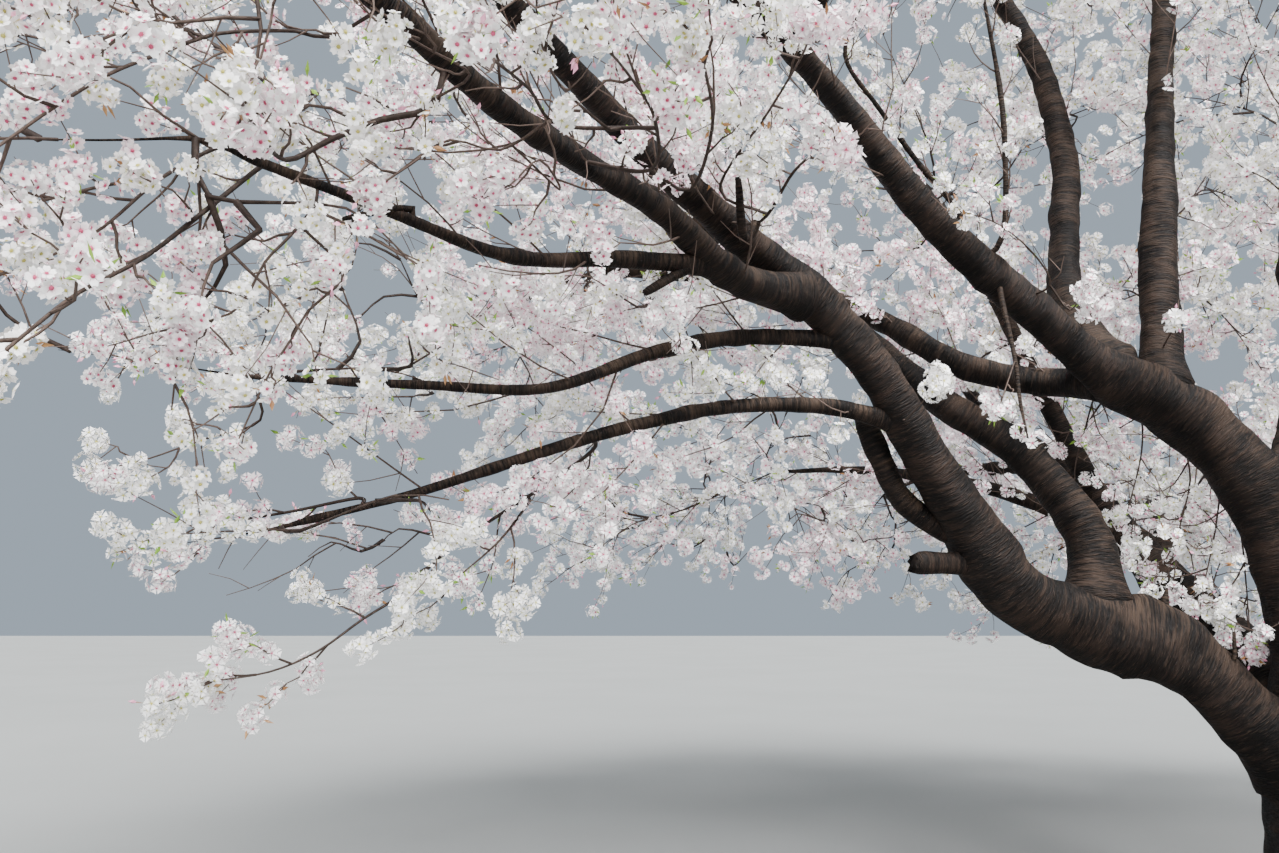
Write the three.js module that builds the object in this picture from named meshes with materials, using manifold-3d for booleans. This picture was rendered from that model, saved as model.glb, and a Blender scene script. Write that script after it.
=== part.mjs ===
// A white cherry blossom tree in full flower: a short flared trunk that forks low, tapering
// boughs, and masses of blossom on twigs. Millimetres and degrees, +Z up. The origin is the
// centre of the flat cut under the trunk, at ground level. Heading 0 is +X and 90 is +Y, and
// the long low bough leaves towards -X.
import * as THREE from "three";
import { mergeVertices } from "three/addons/utils/BufferGeometryUtils.js";
import Module from "manifold-3d";

const wasm = await Module();
wasm.setup();

const GRID = 0.01; // the corners of every solid lie on this grid

// Trunk
const FORK_HEIGHT = 1040;
const TRUNK_SIDES = 20;
const ROOT_LOBES = 5;
const ROOT_LOBE_TURN = 0.9; // radians
const TRUNK_LEAN = -70; // how far the top of the trunk stands towards -X
const TRUNK_PROFILE = [
  { height: 0, radius: 480, lobe: 95 },
  { height: 70, radius: 415, lobe: 75 },
  { height: 180, radius: 362, lobe: 48 },
  { height: 340, radius: 322, lobe: 26 },
  { height: 560, radius: 300, lobe: 12 },
  { height: 780, radius: 285, lobe: 6 },
  { height: 930, radius: 225, lobe: 3 },
  { height: FORK_HEIGHT, radius: 105, lobe: 0 },
];

// Boughs
const JOINT_GAP = 0.3; // left between a limb and what carries it
const BOUGH_SIDES = 8;
const ARM_SIDES = 6; // of a bough whose foot is thinner than ARM_FOOT
const ARM_FOOT = 90;
const RING_STEP = 460; // length of bough between two rings

// Masses of blossom
const TWIG_SIDES = 3;
const TWIG_RADIUS = 17;
const TWIG_NECK = 11; // radius where a twig enters the spray at its end
const TWIG_COLLAR = 50; // how far from its pointed root a twig has its full radius
const TWIGS_PER_MASS = 7;
const TWIG_BEND = 0.3; // how far along a twig it bends, as a share of its length
const TWIG_LIFT = 0.1; // how far a twig bends up and ahead, as a share of its length
const ROOT_PLACES = [0.2, 0.55, 0.9]; // where a twig can leave each stretch of another
const ROOT_TRIES = 4; // places tried for each twig
const FOOT_WEIGHT = 0.3; // how much a twig would rather leave near the mass's foot
const STEM_START = 150; // the straight start of a mass's stem, in line with its bough
const STEM_SHARE = 0.8; // a stem's radius, as a share of its bough's tip
const STEM_OVERSHOOT = 0.35; // how far a stem's spray reaches past its mass's centre
const SPRAYS_PER_MASS = 10; // side sprays, besides the one at each twig's end
const SPRAY_SIDES = 4;
const SPRAY_LENGTH = 680;
const SPRAY_RADIUS = 225;
const SPRAY_BELLY = 0.58; // how far along a spray it is widest
const SPRAY_STEP = 130; // along a twig, from one place for a spray to the next
const SPRAY_APART = 400; // least distance between the widest points of two sprays
const SPRAY_ANGLE = 56; // between a twig and its side sprays
const SPRAY_SIZES = [1, 0.82, 0.66]; // tried in turn
const LEAST_TWIG = 1.35; // length of a twig with its spray, as a multiple of the spray's
const ROOT_SHARE = 0.14; // the share of a twig or spray at its root that may touch its carrier
const GOLDEN_ANGLE = 137.508;
const GOAL_STRIDES = [0.8191725134, 0.6710436067, 0.5497004779]; // spread three numbers evenly
const SEED_STRIDE = 0.37; // shifts them from one mass to the next
const GOAL_TRIES = 300;
const GOAL_SHELL = [0.6, 0.97]; // how far out goals lie, as a share of the mass's half-extents
const GOALS_APART = 0.42; // least distance between two, as a share of the mass's half width
const SPACE_GAP = 3; // kept to the space of the next mass

// Each bough leaves another at a share of its length. Its heading and climb change evenly from
// one listed value to the next, and its radius from foot to tip.
const LEFT_BOUGHS = [
  {
    name: "low_left",
    from: "trunk",
    at: 0.58,
    length: 5390,
    heading: [180, 178, 182, 202, 208, 208, 214, 222, 224],
    climb: [52, 44, 10, 50, 58, 36, 24, 28, 28],
    radius: [158, 150, 145, 138, 104, 84, 75, 59, 45],
  },
  {
    name: "rise",
    from: "trunk",
    at: 0.76,
    length: 5110,
    heading: [178, 166, 162, 178, 198, 202, 210, 206, 204],
    climb: [88, 86, 68, 30, 36, 32, 44, 36, 34],
    radius: [172, 166, 148, 116, 98, 84, 72, 60, 46],
  },
  {
    name: "fork",
    from: "low_left",
    at: 0.65,
    length: 2350,
    heading: [216, 224, 220, 234, 234, 234],
    climb: [-34, 34, 10, 4, 8, 18],
    radius: [80, 66, 52, 46, 42, 36],
  },
  {
    name: "reach",
    from: "fork",
    at: 0.23,
    length: 1900,
    heading: [204, 214, 216, 221],
    climb: [0, -14, 10, 4],
    radius: [38, 22],
  },
  {
    name: "elbow",
    from: "low_left",
    at: 0.25,
    length: 3720,
    heading: [40, 144, 182, 170, 148, 146, 150],
    climb: [88, 62, 32, 46, 40, 40, 40],
    radius: [112, 96, 88, 76, 66, 54, 42],
  },
  {
    name: "upper_left_arm",
    from: "low_left",
    at: 0.6,
    length: 2450,
    heading: [180, 214, 198, 188, 192],
    climb: [6, -14, -22, 4, -2],
    radius: [38, 22],
  },
  {
    name: "lower_left_arm",
    from: "low_left",
    at: 0.51,
    length: 2700,
    heading: [200, 198, 194, 192, 190],
    climb: [12, -4, -18, -20, -14],
    radius: [40, 22],
  },
  {
    name: "cross",
    from: "rise",
    at: 0.42,
    length: 3050,
    heading: [114, 170, 158, 152, 156, 160],
    climb: [4, 16, 40, 22, 12, 10],
    radius: [78, 34],
  },
  {
    name: "mast",
    from: "rise",
    at: 0.372,
    length: 3600,
    heading: [54, 44, 36, 58],
    climb: [76, 74, 76, 80],
    radius: [104, 46],
  },
  {
    name: "back_mast",
    from: "rise",
    at: 0.42,
    length: 3550,
    heading: [114, 76, 42, 110, 160, 160],
    climb: [46, 56, 72, 82, 68, 64],
    radius: [108, 50],
  },
  {
    name: "edge_mast",
    from: "rise",
    at: 0.255,
    length: 4150,
    heading: [34, 34, 2, -4, -16],
    climb: [10, 84, 82, 84, 74],
    radius: [98, 46],
  },
  {
    name: "shoulder",
    from: "rise",
    at: 0.92,
    length: 1500,
    heading: [70, 0, 310],
    climb: [72, 62, 52],
    radius: [40, 26],
  },
  {
    name: "front_arm",
    from: "rise",
    at: 0.88,
    length: 2600,
    heading: [300, 280, 262, 250],
    climb: [34, 20, 4, -6],
    radius: [44, 26],
  },
];

// Cut ends of limbs that were lost, each a short stump on a bough.
const STUB_RING_STEP = 220;
const STUBS = [
  {
    on: "low_left",
    at: 0.385,
    length: 840,
    heading: [170, 182, 192, 180],
    climb: [18, 34, 66, 68],
    radius: [66, 48],
  },
  { on: "low_left", at: 0.365, length: 440, heading: [196, 198], climb: [0, -4], radius: [56, 44] },
  { on: "reach", at: 0.08, length: 260, heading: [202, 201], climb: [-28, -40], radius: [24, 18] },
];

// The other sides repeat one pattern: a main bough, two low side arms, an outer arm that dips
// and an arm that climbs into the crown. Its headings count from the side's own.
const SIDES = [
  { side: "right", heading: 18, at: 0.8, foot: 150, size: 1.06, climber: 44 },
  { side: "rear", heading: 104, at: 0.72, foot: 150, size: 1.04, climber: 10 },
  { side: "front_right", heading: 294, at: 0.84, foot: 138, size: 1, climber: 44 },
];

function sideBoughs({ side, heading, at, foot, size, climber }) {
  const grown = ({ part, turns, ...rest }) => ({
    ...rest,
    name: part ? `${side}_${part}` : side,
    length: rest.length * size,
    heading: turns.map((turn) => heading + turn),
  });
  return [
    {
      part: "",
      from: "trunk",
      at,
      length: 3500,
      turns: [-12, 8, -4, 4, -4],
      climb: [54, 40, 44, 34, 40],
      radius: [foot, 46],
    },
    {
      part: "near_arm",
      from: side,
      at: 0.36,
      length: 2300,
      turns: [-44, -40, -26],
      climb: [36, 14, 2],
      radius: [foot * 0.42, 24],
    },
    {
      part: "far_arm",
      from: side,
      at: 0.44,
      length: 2300,
      turns: [46, 40, 28],
      climb: [34, 14, 2],
      radius: [foot * 0.42, 24],
    },
    {
      part: "outer_arm",
      from: side,
      at: 0.68,
      length: 1900,
      turns: [14, 4, -4],
      climb: [8, 4, -8],
      radius: [foot * 0.36, 24],
    },
    {
      part: "climber",
      from: side,
      at: 0.5,
      length: 2400,
      turns: [climber + 60, climber + 30, climber],
      climb: [66, 70, 60],
      radius: [foot * 0.46, 30],
    },
  ].map(grown);
}

// Each mass lies beyond the tip of its bough: how far its middle is from the tip, turned by
// how much from the bough's own heading, at what climb, and its half-extents.
const LEFT_MASSES = [
  { on: "low_left", ahead: 800, turn: -10, climb: 34, half: [1500, 1400, 1050] },
  { on: "rise", ahead: 800, turn: -20, climb: 40, half: [1500, 1500, 1150] },
  { on: "fork", ahead: 700, turn: 8, climb: 6, half: [1350, 1350, 850] },
  { on: "reach", ahead: 700, turn: -20, climb: -6, half: [1350, 1250, 850] },
  { on: "elbow", ahead: 800, turn: 4, climb: 22, half: [1600, 1600, 1150] },
  { on: "upper_left_arm", ahead: 650, turn: -16, climb: 8, half: [1350, 1350, 800] },
  { on: "lower_left_arm", ahead: 600, turn: -10, climb: -10, half: [1300, 1400, 850] },
  { on: "cross", ahead: 800, turn: 4, climb: -10, half: [1600, 1600, 1050] },
  { on: "mast", ahead: 800, turn: 0, climb: 66, half: [1600, 1600, 1250] },
  { on: "back_mast", ahead: 850, turn: -10, climb: 52, half: [1600, 1600, 1250] },
  { on: "edge_mast", ahead: 800, turn: -20, climb: 60, half: [1600, 1600, 1250] },
  { on: "shoulder", ahead: 850, turn: 10, climb: 56, half: [1600, 1600, 1200] },
  { on: "front_arm", ahead: 800, turn: 10, climb: 6, half: [1500, 1500, 1000] },
];
const SIDE_MASSES = [
  { on: "", ahead: 850, turn: 0, climb: 36, half: [1600, 1600, 1200] },
  { on: "near_arm", ahead: 750, turn: 0, climb: -8, half: [1600, 1600, 1050] },
  { on: "far_arm", ahead: 750, turn: 0, climb: -8, half: [1600, 1600, 1050] },
  { on: "outer_arm", ahead: 750, turn: 0, climb: -16, half: [1500, 1500, 1050] },
  { on: "climber", ahead: 850, turn: 0, climb: 54, half: [1600, 1600, 1200] },
];

const radians = (degrees) => (degrees * Math.PI) / 180;

function towards(heading, climb) {
  const flat = Math.cos(radians(climb));
  return new THREE.Vector3(
    flat * Math.cos(radians(heading)),
    flat * Math.sin(radians(heading)),
    Math.sin(radians(climb)),
  );
}

// The value at a share of the way along a list, changing evenly between its entries.
function along(values, share) {
  const place = share * (values.length - 1);
  const before = Math.min(Math.floor(place), values.length - 2);
  return THREE.MathUtils.lerp(values[before], values[before + 1], place - before);
}

// The line of a limb from its start, in steps of about the given length.
function lineOf({ start, length, heading, climb, step }) {
  const count = Math.round(length / step);
  const line = [start];
  for (let i = 0; i < count; i++) {
    const share = (i + 0.5) / count;
    const ahead = towards(along(heading, share), along(climb, share));
    line.push(line[i].clone().addScaledVector(ahead, length / count));
  }
  return line;
}

function pointAlong(line, share) {
  const lengths = line.slice(1).map((p, i) => p.distanceTo(line[i]));
  let left = share * lengths.reduce((sum, length) => sum + length, 0);
  for (let i = 0; i < lengths.length; i++) {
    if (left <= lengths[i]) return line[i].clone().lerp(line[i + 1], left / lengths[i]);
    left -= lengths[i];
  }
  return line.at(-1).clone();
}

function solid(vertices, triangles) {
  return new wasm.Manifold(
    new wasm.Mesh({
      numProp: 3,
      vertProperties: new Float32Array(vertices.flatMap((p) => [p.x, p.y, p.z])),
      triVerts: new Uint32Array(triangles.flat()),
    }),
  );
}

// The same solid with its corners on the grid, or null where that would leave it open or would
// leave an edge with more than two faces.
function onGrid(made) {
  const { numProp, vertProperties, triVerts } = made.getMesh();
  const corners = [];
  const places = new Map();
  const numbers = Array.from({ length: vertProperties.length / numProp }, (_, i) => {
    const [x, y, z] = vertProperties.slice(i * numProp).map((value) => Math.round(value / GRID));
    const place = `${x},${y},${z}`;
    if (!places.has(place)) {
      places.set(place, corners.length);
      corners.push(new THREE.Vector3(x, y, z).multiplyScalar(GRID));
    }
    return places.get(place);
  });
  const triangles = [];
  for (let i = 0; i < triVerts.length; i += 3) {
    const [a, b, c] = triVerts.slice(i, i + 3).map((corner) => numbers[corner]);
    if (a !== b && b !== c && c !== a) triangles.push([a, b, c]);
  }
  const edges = new Set(triangles.flatMap(([a, b, c]) => [`${a},${b}`, `${b},${c}`, `${c},${a}`]));
  if (edges.size < 3 * triangles.length) return null;
  try {
    return largest(solid(corners, triangles));
  } catch {
    return null;
  }
}

// A closed solid through rings of points. A ring is one point where the solid ends in a point,
// and the others all have the same number of points.
function loft(rings) {
  const vertices = rings.flat();
  const triangles = [];
  let first = 0;
  rings.slice(1).forEach((after, i) => {
    const before = rings[i];
    const sides = Math.max(before.length, after.length);
    const second = first + before.length;
    for (let k = 0; k < sides; k++) {
      const next = (k + 1) % sides;
      if (before.length > 1) triangles.push([first + k, first + next, second + (next % after.length)]);
      if (after.length > 1) triangles.push([first + (k % before.length), second + next, second + k]);
    }
    first = second;
  });
  for (let k = 1; k + 1 < rings[0].length; k++) triangles.push([0, k + 1, k]);
  for (let k = 1; k + 1 < rings.at(-1).length; k++) triangles.push([first, first + k, first + k + 1]);
  return solid(vertices, triangles);
}

// A direction square to the one given, level wherever that can be.
function squareTo(direction) {
  const up = new THREE.Vector3(0, 0, 1);
  const guide = Math.abs(direction.z) < 0.95 ? up : new THREE.Vector3(1, 0, 0);
  return guide.cross(direction).normalize();
}

function ring(centre, across, over, radius, sides, turn = 0) {
  return Array.from({ length: sides }, (_, k) => {
    const angle = turn + (2 * Math.PI * k) / sides;
    return centre
      .clone()
      .addScaledVector(across, radius * Math.cos(angle))
      .addScaledVector(over, radius * Math.sin(angle));
  });
}

// Rings square to a line of points, one at each, carried along it without a twist.
function ringsAlong(line, radii, sides) {
  let across = null;
  return line.map((point, i) => {
    const next = line[Math.min(i + 1, line.length - 1)];
    const ahead = next.clone().sub(line[Math.max(i - 1, 0)]).normalize();
    across = across
      ? across.addScaledVector(ahead, -across.dot(ahead)).normalize()
      : squareTo(ahead);
    return ring(point, across, ahead.clone().cross(across), radii[i], sides);
  });
}

function trunkSolid(extra) {
  const rings = TRUNK_PROFILE.map(({ height, radius, lobe }) => {
    const top = height === FORK_HEIGHT ? extra : 0;
    const lean = (TRUNK_LEAN * height) / FORK_HEIGHT;
    return Array.from({ length: TRUNK_SIDES }, (_, k) => {
      const turn = (2 * Math.PI * k) / TRUNK_SIDES;
      const out = radius + extra + lobe * Math.cos(ROOT_LOBES * turn + ROOT_LOBE_TURN);
      return new THREE.Vector3(out * Math.cos(turn) + lean, out * Math.sin(turn), height + top);
    });
  });
  return loft(rings);
}

// The largest piece alone, so that no cut leaves a scrap behind.
function largest(made) {
  return made.decompose().sort((a, b) => b.volume() - a.volume())[0];
}

// A limb along its line with the stubs that it carries, thicker all over by extra.
function limbSolid({ name, line, radius }, extra) {
  const tube = (path, radii, sides) => {
    const rings = path.map((_, i) => along(radii, i / (path.length - 1)) + extra);
    return loft(ringsAlong(path, rings, sides));
  };
  const limb = tube(line, radius, radius[0] < ARM_FOOT ? ARM_SIDES : BOUGH_SIDES);
  const stubs = STUBS.filter(({ on }) => on === name).map((stub) => {
    const path = lineOf({ ...stub, start: pointAlong(line, stub.at), step: STUB_RING_STEP });
    return tube(path, stub.radius, ARM_SIDES);
  });
  return wasm.Manifold.union([limb, ...stubs]);
}

// Adds to each bough its line, its solid and its solid with the joint's gap round it. Each is
// cut clear of the limbs that come before it.
function growBoughs(boughs) {
  const trunkLine = [new THREE.Vector3(), new THREE.Vector3(TRUNK_LEAN, 0, FORK_HEIGHT)];
  const lines = new Map([["trunk", trunkLine]]);
  const earlier = [trunkSolid(JOINT_GAP)];
  return boughs.map((bough) => {
    const start = pointAlong(lines.get(bough.from), bough.at);
    const line = lineOf({ ...bough, start, step: RING_STEP });
    lines.set(bough.name, line);
    const whole = limbSolid({ ...bough, line }, 0);
    const body = earlier.reduce((made, other) => largest(made.subtract(other)), whole);
    const cleared = limbSolid({ ...bough, line }, JOINT_GAP);
    earlier.push(cleared);
    return { ...bough, line, body, cleared };
  });
}

// A test of whether a point is in a mass's space: an ellipsoid, cut off towards each neighbour
// by a plane between the two.
function spaceOf(mass, masses) {
  const reach = ({ half }, way) => 1 / new THREE.Vector3().copy(way).divide(half).length();
  const walls = masses
    .filter((other) => other !== mass)
    .map((other) => {
      const way = other.centre.clone().sub(mass.centre);
      const distance = way.length();
      way.normalize();
      const mine = reach(mass, way);
      return { way, offset: (distance * mine) / (mine + reach(other, way)) - SPACE_GAP };
    });
  return (point) => {
    const out = point.clone().sub(mass.centre);
    const inEllipsoid = out.clone().divide(mass.half).length() <= 1;
    return inEllipsoid && walls.every(({ way, offset }) => out.dot(way) <= offset);
  };
}

// Evenly spread places for the tips of a mass's twigs, others for each seed.
function goalsIn(mass, inSpace) {
  const goals = [];
  for (let i = 1; i < GOAL_TRIES && goals.length < TWIGS_PER_MASS; i++) {
    const [turn, height, depth] = GOAL_STRIDES.map(
      (stride, k) => (SEED_STRIDE * mass.seed * (k + 1) + stride * i) % 1,
    );
    const rise = 2 * height - 1;
    const way = towards(360 * turn, THREE.MathUtils.radToDeg(Math.asin(rise)));
    const out = along(GOAL_SHELL, Math.cbrt(depth));
    const goal = way.multiply(mass.half).multiplyScalar(out).add(mass.centre);
    const free = goals.every((other) => other.distanceTo(goal) > GOALS_APART * mass.half.x);
    if (free && inSpace(goal)) goals.push(goal);
  }
  return goals;
}

// A twig with a spray of blossom at its end, whose tip reaches the last point of the path: its
// solid, its line and the part of it that has to stay clear of what grew before.
function twigSolid(path, radius, size, pointed) {
  const tip = path.at(-1);
  const ahead = tip.clone().sub(path.at(-2)).normalize();
  const neck = tip.clone().addScaledVector(ahead, -SPRAY_LENGTH * size);
  const belly = neck.clone().addScaledVector(ahead, SPRAY_LENGTH * SPRAY_BELLY * size);
  const line = [...path.slice(0, -1), neck];
  const radii = line.map((_, i) => along([radius, TWIG_NECK], i / (line.length - 1)));
  const rings = ringsAlong([...line, belly], [...radii, SPRAY_RADIUS * size], TWIG_SIDES);
  if (pointed) rings[0] = [line[0]];
  const free = [[pointAlong(line, ROOT_SHARE)], ...rings.slice(pointed ? 2 : 1), [tip]];
  const edge = [tip, ...rings.at(-1)];
  return { line, belly, body: loft([...rings, [tip]]), free: loft(free), edge };
}

// A spray of blossom on the side of a twig.
function spraySolid(root, ahead, size, turn) {
  const across = squareTo(ahead);
  const length = SPRAY_LENGTH * size;
  const belly = root.clone().addScaledVector(ahead, length * SPRAY_BELLY);
  const tip = root.clone().addScaledVector(ahead, length);
  const over = ahead.clone().cross(across);
  const widest = ring(belly, across, over, SPRAY_RADIUS * size, SPRAY_SIDES, turn);
  const free = loft([[root.clone().lerp(tip, ROOT_SHARE)], widest, [tip]]);
  return { belly, body: loft([[root], widest, [tip]]), free, edge: [tip, ...widest] };
}

// The stem of a mass: on from its bough's tip, in line with it, to just past the mass's centre.
function stemOf({ bough, centre }) {
  const tip = bough.line.at(-1);
  const heading = tip.clone().sub(bough.line.at(-2)).normalize();
  const foot = tip.clone().addScaledVector(heading, JOINT_GAP);
  const straight = foot.clone().addScaledVector(heading, STEM_START);
  const past = centre.clone().sub(foot).multiplyScalar(STEM_OVERSHOOT).add(centre);
  const radius = bough.radius.at(-1) * STEM_SHARE;
  return twigSolid([foot, straight, past], radius, SPRAY_SIZES.at(-1), false);
}

// The twigs that could reach a goal, from the nearest places on the twigs that already grow,
// the likeliest first.
function twigsTowards(goal, twigs) {
  const foot = twigs[0].line[0];
  const roots = twigs.flatMap(({ line }) =>
    line.slice(1).flatMap((end, i) =>
      ROOT_PLACES.map((share) => {
        const point = line[i].clone().lerp(end, share);
        const cost = point.distanceTo(goal) + FOOT_WEIGHT * point.distanceTo(foot);
        return { point, ahead: end.clone().sub(line[i]).normalize(), cost };
      }),
    ),
  );
  roots.sort((a, b) => a.cost - b.cost);
  return roots.slice(0, ROOT_TRIES).flatMap(({ point, ahead }) => {
    const reach = point.distanceTo(goal);
    const bend = point.clone().lerp(goal, TWIG_BEND).addScaledVector(ahead, reach * TWIG_LIFT);
    bend.z += reach * TWIG_LIFT;
    const collar = point.clone().addScaledVector(bend.clone().sub(point).normalize(), TWIG_COLLAR);
    const sizes = SPRAY_SIZES.filter((size) => reach > LEAST_TWIG * SPRAY_LENGTH * size);
    return sizes.map((size) => twigSolid([point, collar, bend, goal], TWIG_RADIUS, size, true));
  });
}

// Places for side sprays along a twig: each root and the twig's own direction there.
function placesAlong({ line }) {
  const length = line.slice(1).reduce((sum, point, i) => sum + point.distanceTo(line[i]), 0);
  const count = Math.floor(length / SPRAY_STEP);
  return Array.from({ length: count }, (_, i) => {
    const root = pointAlong(line, ((i + 0.9) * SPRAY_STEP) / length);
    const beyond = pointAlong(line, ((i + 1) * SPRAY_STEP) / length);
    return { root, ahead: beyond.sub(root).normalize() };
  });
}

// The twigs and sprays of one mass, joined. What would leave the mass's space, touch a limb or
// touch what grew before is skipped.
function growMass(mass, inSpace, limbs) {
  const stem = stemOf(mass);
  let { body } = stem;
  const twigs = [stem];
  const bellies = [stem.belly];
  const add = (piece) => {
    const fits =
      piece.edge.every(inSpace) &&
      bellies.every((belly) => belly.distanceTo(piece.belly) > SPRAY_APART) &&
      piece.body.intersect(limbs).isEmpty() &&
      piece.free.intersect(body).isEmpty();
    const joined = fits && onGrid(body.add(piece.body));
    if (!joined) return false;
    body = joined;
    bellies.push(piece.belly);
    return true;
  };

  const fromFoot = (goal) => goal.distanceTo(stem.line[0]);
  for (const goal of goalsIn(mass, inSpace).sort((a, b) => fromFoot(a) - fromFoot(b))) {
    const twig = twigsTowards(goal, twigs).find(add);
    if (twig) twigs.push(twig);
  }

  let made = 0;
  let turn = radians(GOLDEN_ANGLE * mass.seed);
  for (const size of SPRAY_SIZES) {
    for (const { root, ahead } of twigs.flatMap(placesAlong)) {
      turn += radians(GOLDEN_ANGLE);
      const way = squareTo(ahead)
        .applyAxisAngle(ahead, turn)
        .multiplyScalar(Math.sin(radians(SPRAY_ANGLE)))
        .addScaledVector(ahead, Math.cos(radians(SPRAY_ANGLE)));
      if (made < SPRAYS_PER_MASS && add(spraySolid(root, way, size, turn))) made += 1;
    }
  }
  return body;
}

function mesh(name, made, material) {
  const { numProp, vertProperties, triVerts } = onGrid(made).getMesh();
  const geometry = new THREE.BufferGeometry();
  const positions = new THREE.InterleavedBuffer(vertProperties, numProp);
  geometry.setAttribute("position", new THREE.InterleavedBufferAttribute(positions, 3, 0));
  geometry.setIndex(new THREE.BufferAttribute(triVerts, 1));
  const part = new THREE.Mesh(mergeVertices(geometry.toNonIndexed(), 1e-3), material);
  part.geometry.computeVertexNormals();
  part.name = name;
  return part;
}

const finish = (color, roughness) =>
  new THREE.MeshStandardMaterial({ color, roughness, metalness: 0 });
const bark = () => finish(0x4a362c, 0.9);
const blossom = () => finish(0xf6eef0, 0.75);

const boughs = growBoughs([...LEFT_BOUGHS, ...SIDES.flatMap(sideBoughs)]);
const masses = [
  ...LEFT_MASSES,
  ...SIDES.flatMap(({ side }) =>
    SIDE_MASSES.map((mass) => ({ ...mass, on: mass.on ? `${side}_${mass.on}` : side })),
  ),
].map((mass, i) => {
  const bough = boughs.find(({ name }) => name === mass.on);
  const heading = bough.heading.at(-1) + mass.turn;
  const centre = towards(heading, mass.climb).multiplyScalar(mass.ahead).add(bough.line.at(-1));
  return { ...mass, bough, centre, half: new THREE.Vector3(...mass.half), seed: i + 1 };
});

const tree = new THREE.Group();
tree.add(mesh("trunk", trunkSolid(0), bark()));
boughs.forEach(({ name, body }) => tree.add(mesh(`bough_${name}`, body, bark())));
const limbs = wasm.Manifold.union([trunkSolid(JOINT_GAP), ...boughs.map(({ cleared }) => cleared)]);
masses.forEach((mass) => {
  const made = growMass(mass, spaceOf(mass, masses), limbs);
  tree.add(mesh(`blossom_${mass.on}`, made, blossom()));
});

export default tree;
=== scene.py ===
"""A white cherry blossom tree in full flower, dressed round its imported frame.

Metres and degrees, +Z up. The origin is the centre of the flat cut under the trunk. Heading 0 is
+X and 90 is +Y. The plans of limbs and masses are given in millimetres, as in the part's source.
"""

import logging
import math
from collections.abc import Iterable, Sequence
from dataclasses import dataclass, field, replace
from enum import Enum

import bpy
import numpy as np
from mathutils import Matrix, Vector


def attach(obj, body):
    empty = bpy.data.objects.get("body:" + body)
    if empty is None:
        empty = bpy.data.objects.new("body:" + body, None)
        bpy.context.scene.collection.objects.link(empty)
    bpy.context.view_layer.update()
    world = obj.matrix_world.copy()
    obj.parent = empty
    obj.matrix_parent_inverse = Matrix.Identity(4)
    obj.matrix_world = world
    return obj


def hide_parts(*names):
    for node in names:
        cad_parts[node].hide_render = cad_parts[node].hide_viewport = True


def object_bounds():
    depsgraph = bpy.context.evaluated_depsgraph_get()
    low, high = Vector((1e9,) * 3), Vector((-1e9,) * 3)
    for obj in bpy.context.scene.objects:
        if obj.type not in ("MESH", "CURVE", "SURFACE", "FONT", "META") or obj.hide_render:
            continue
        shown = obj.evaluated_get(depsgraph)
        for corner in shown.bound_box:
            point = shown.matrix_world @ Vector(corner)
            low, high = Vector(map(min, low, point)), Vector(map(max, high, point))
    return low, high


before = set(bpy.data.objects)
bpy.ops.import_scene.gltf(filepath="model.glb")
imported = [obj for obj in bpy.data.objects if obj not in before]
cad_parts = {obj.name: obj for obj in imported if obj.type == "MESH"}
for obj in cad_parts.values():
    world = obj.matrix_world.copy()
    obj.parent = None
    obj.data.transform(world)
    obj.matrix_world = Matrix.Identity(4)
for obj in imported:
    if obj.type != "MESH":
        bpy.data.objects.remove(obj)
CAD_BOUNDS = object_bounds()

MM = 0.001
UP = np.array([0.0, 0.0, 1.0])
GOLDEN_ANGLE = 137.508
RING_STEP = 460.0  # between two points of a bough's line, as in the source
SENSOR_WIDTH = 36.0  # the camera's, in millimetres
log = logging.getLogger("cherry")

Pair = tuple[float, float]
Triple = tuple[float, float, float]
Box = tuple[float, float, float, float]
Array = np.ndarray
Draw = np.random.Generator
Piece = bpy.types.Object
Material = bpy.types.Material
Socket = bpy.types.NodeSocket


def unit(vector: Array) -> Array:
    """Vectors of length one, along the last axis."""
    return vector / np.maximum(np.linalg.norm(vector, axis=-1, keepdims=True), 1e-9)


def above_zero(depths: Array) -> Array:
    """Depths in metres that are safe to divide by."""
    return np.maximum(depths, 0.1)


def towards(heading: float, climb: float) -> Array:
    """The direction of a heading and a climb above the level."""
    turn, rise = math.radians(heading), math.radians(climb)
    return np.array([math.cos(rise) * math.cos(turn), math.cos(rise) * math.sin(turn), math.sin(rise)])


def along(values: Sequence[float], share: float | Array) -> float | Array:
    """The value at a share of the way along a list, changing evenly between its entries."""
    return np.interp(share, np.linspace(0, 1, len(values)), values)


def square_to(direction: Array) -> Array:
    """A direction square to the one given, level wherever that can be."""
    guide = UP if abs(direction[2]) < 0.95 else np.array([1.0, 0.0, 0.0])
    return unit(np.cross(guide, direction))


def turned(vector: Array, axis: Array, angle: float) -> Array:
    """A vector turned about a unit axis by an angle in radians."""
    cosine, sine = math.cos(angle), math.sin(angle)
    return vector * cosine + np.cross(axis, vector) * sine + axis * (axis @ vector) * (1 - cosine)


def arc_lengths(line: Array) -> Array:
    """How far along a line each of its points lies."""
    return np.concatenate([[0.0], np.cumsum(np.linalg.norm(np.diff(line, axis=0), axis=1))])


def at_length(line: Array, places: float | Array) -> Array:
    """The points of a line at these lengths along it."""
    lengths = arc_lengths(line)
    return np.stack([np.interp(places, lengths, line[:, k]) for k in range(3)], axis=-1)


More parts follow.
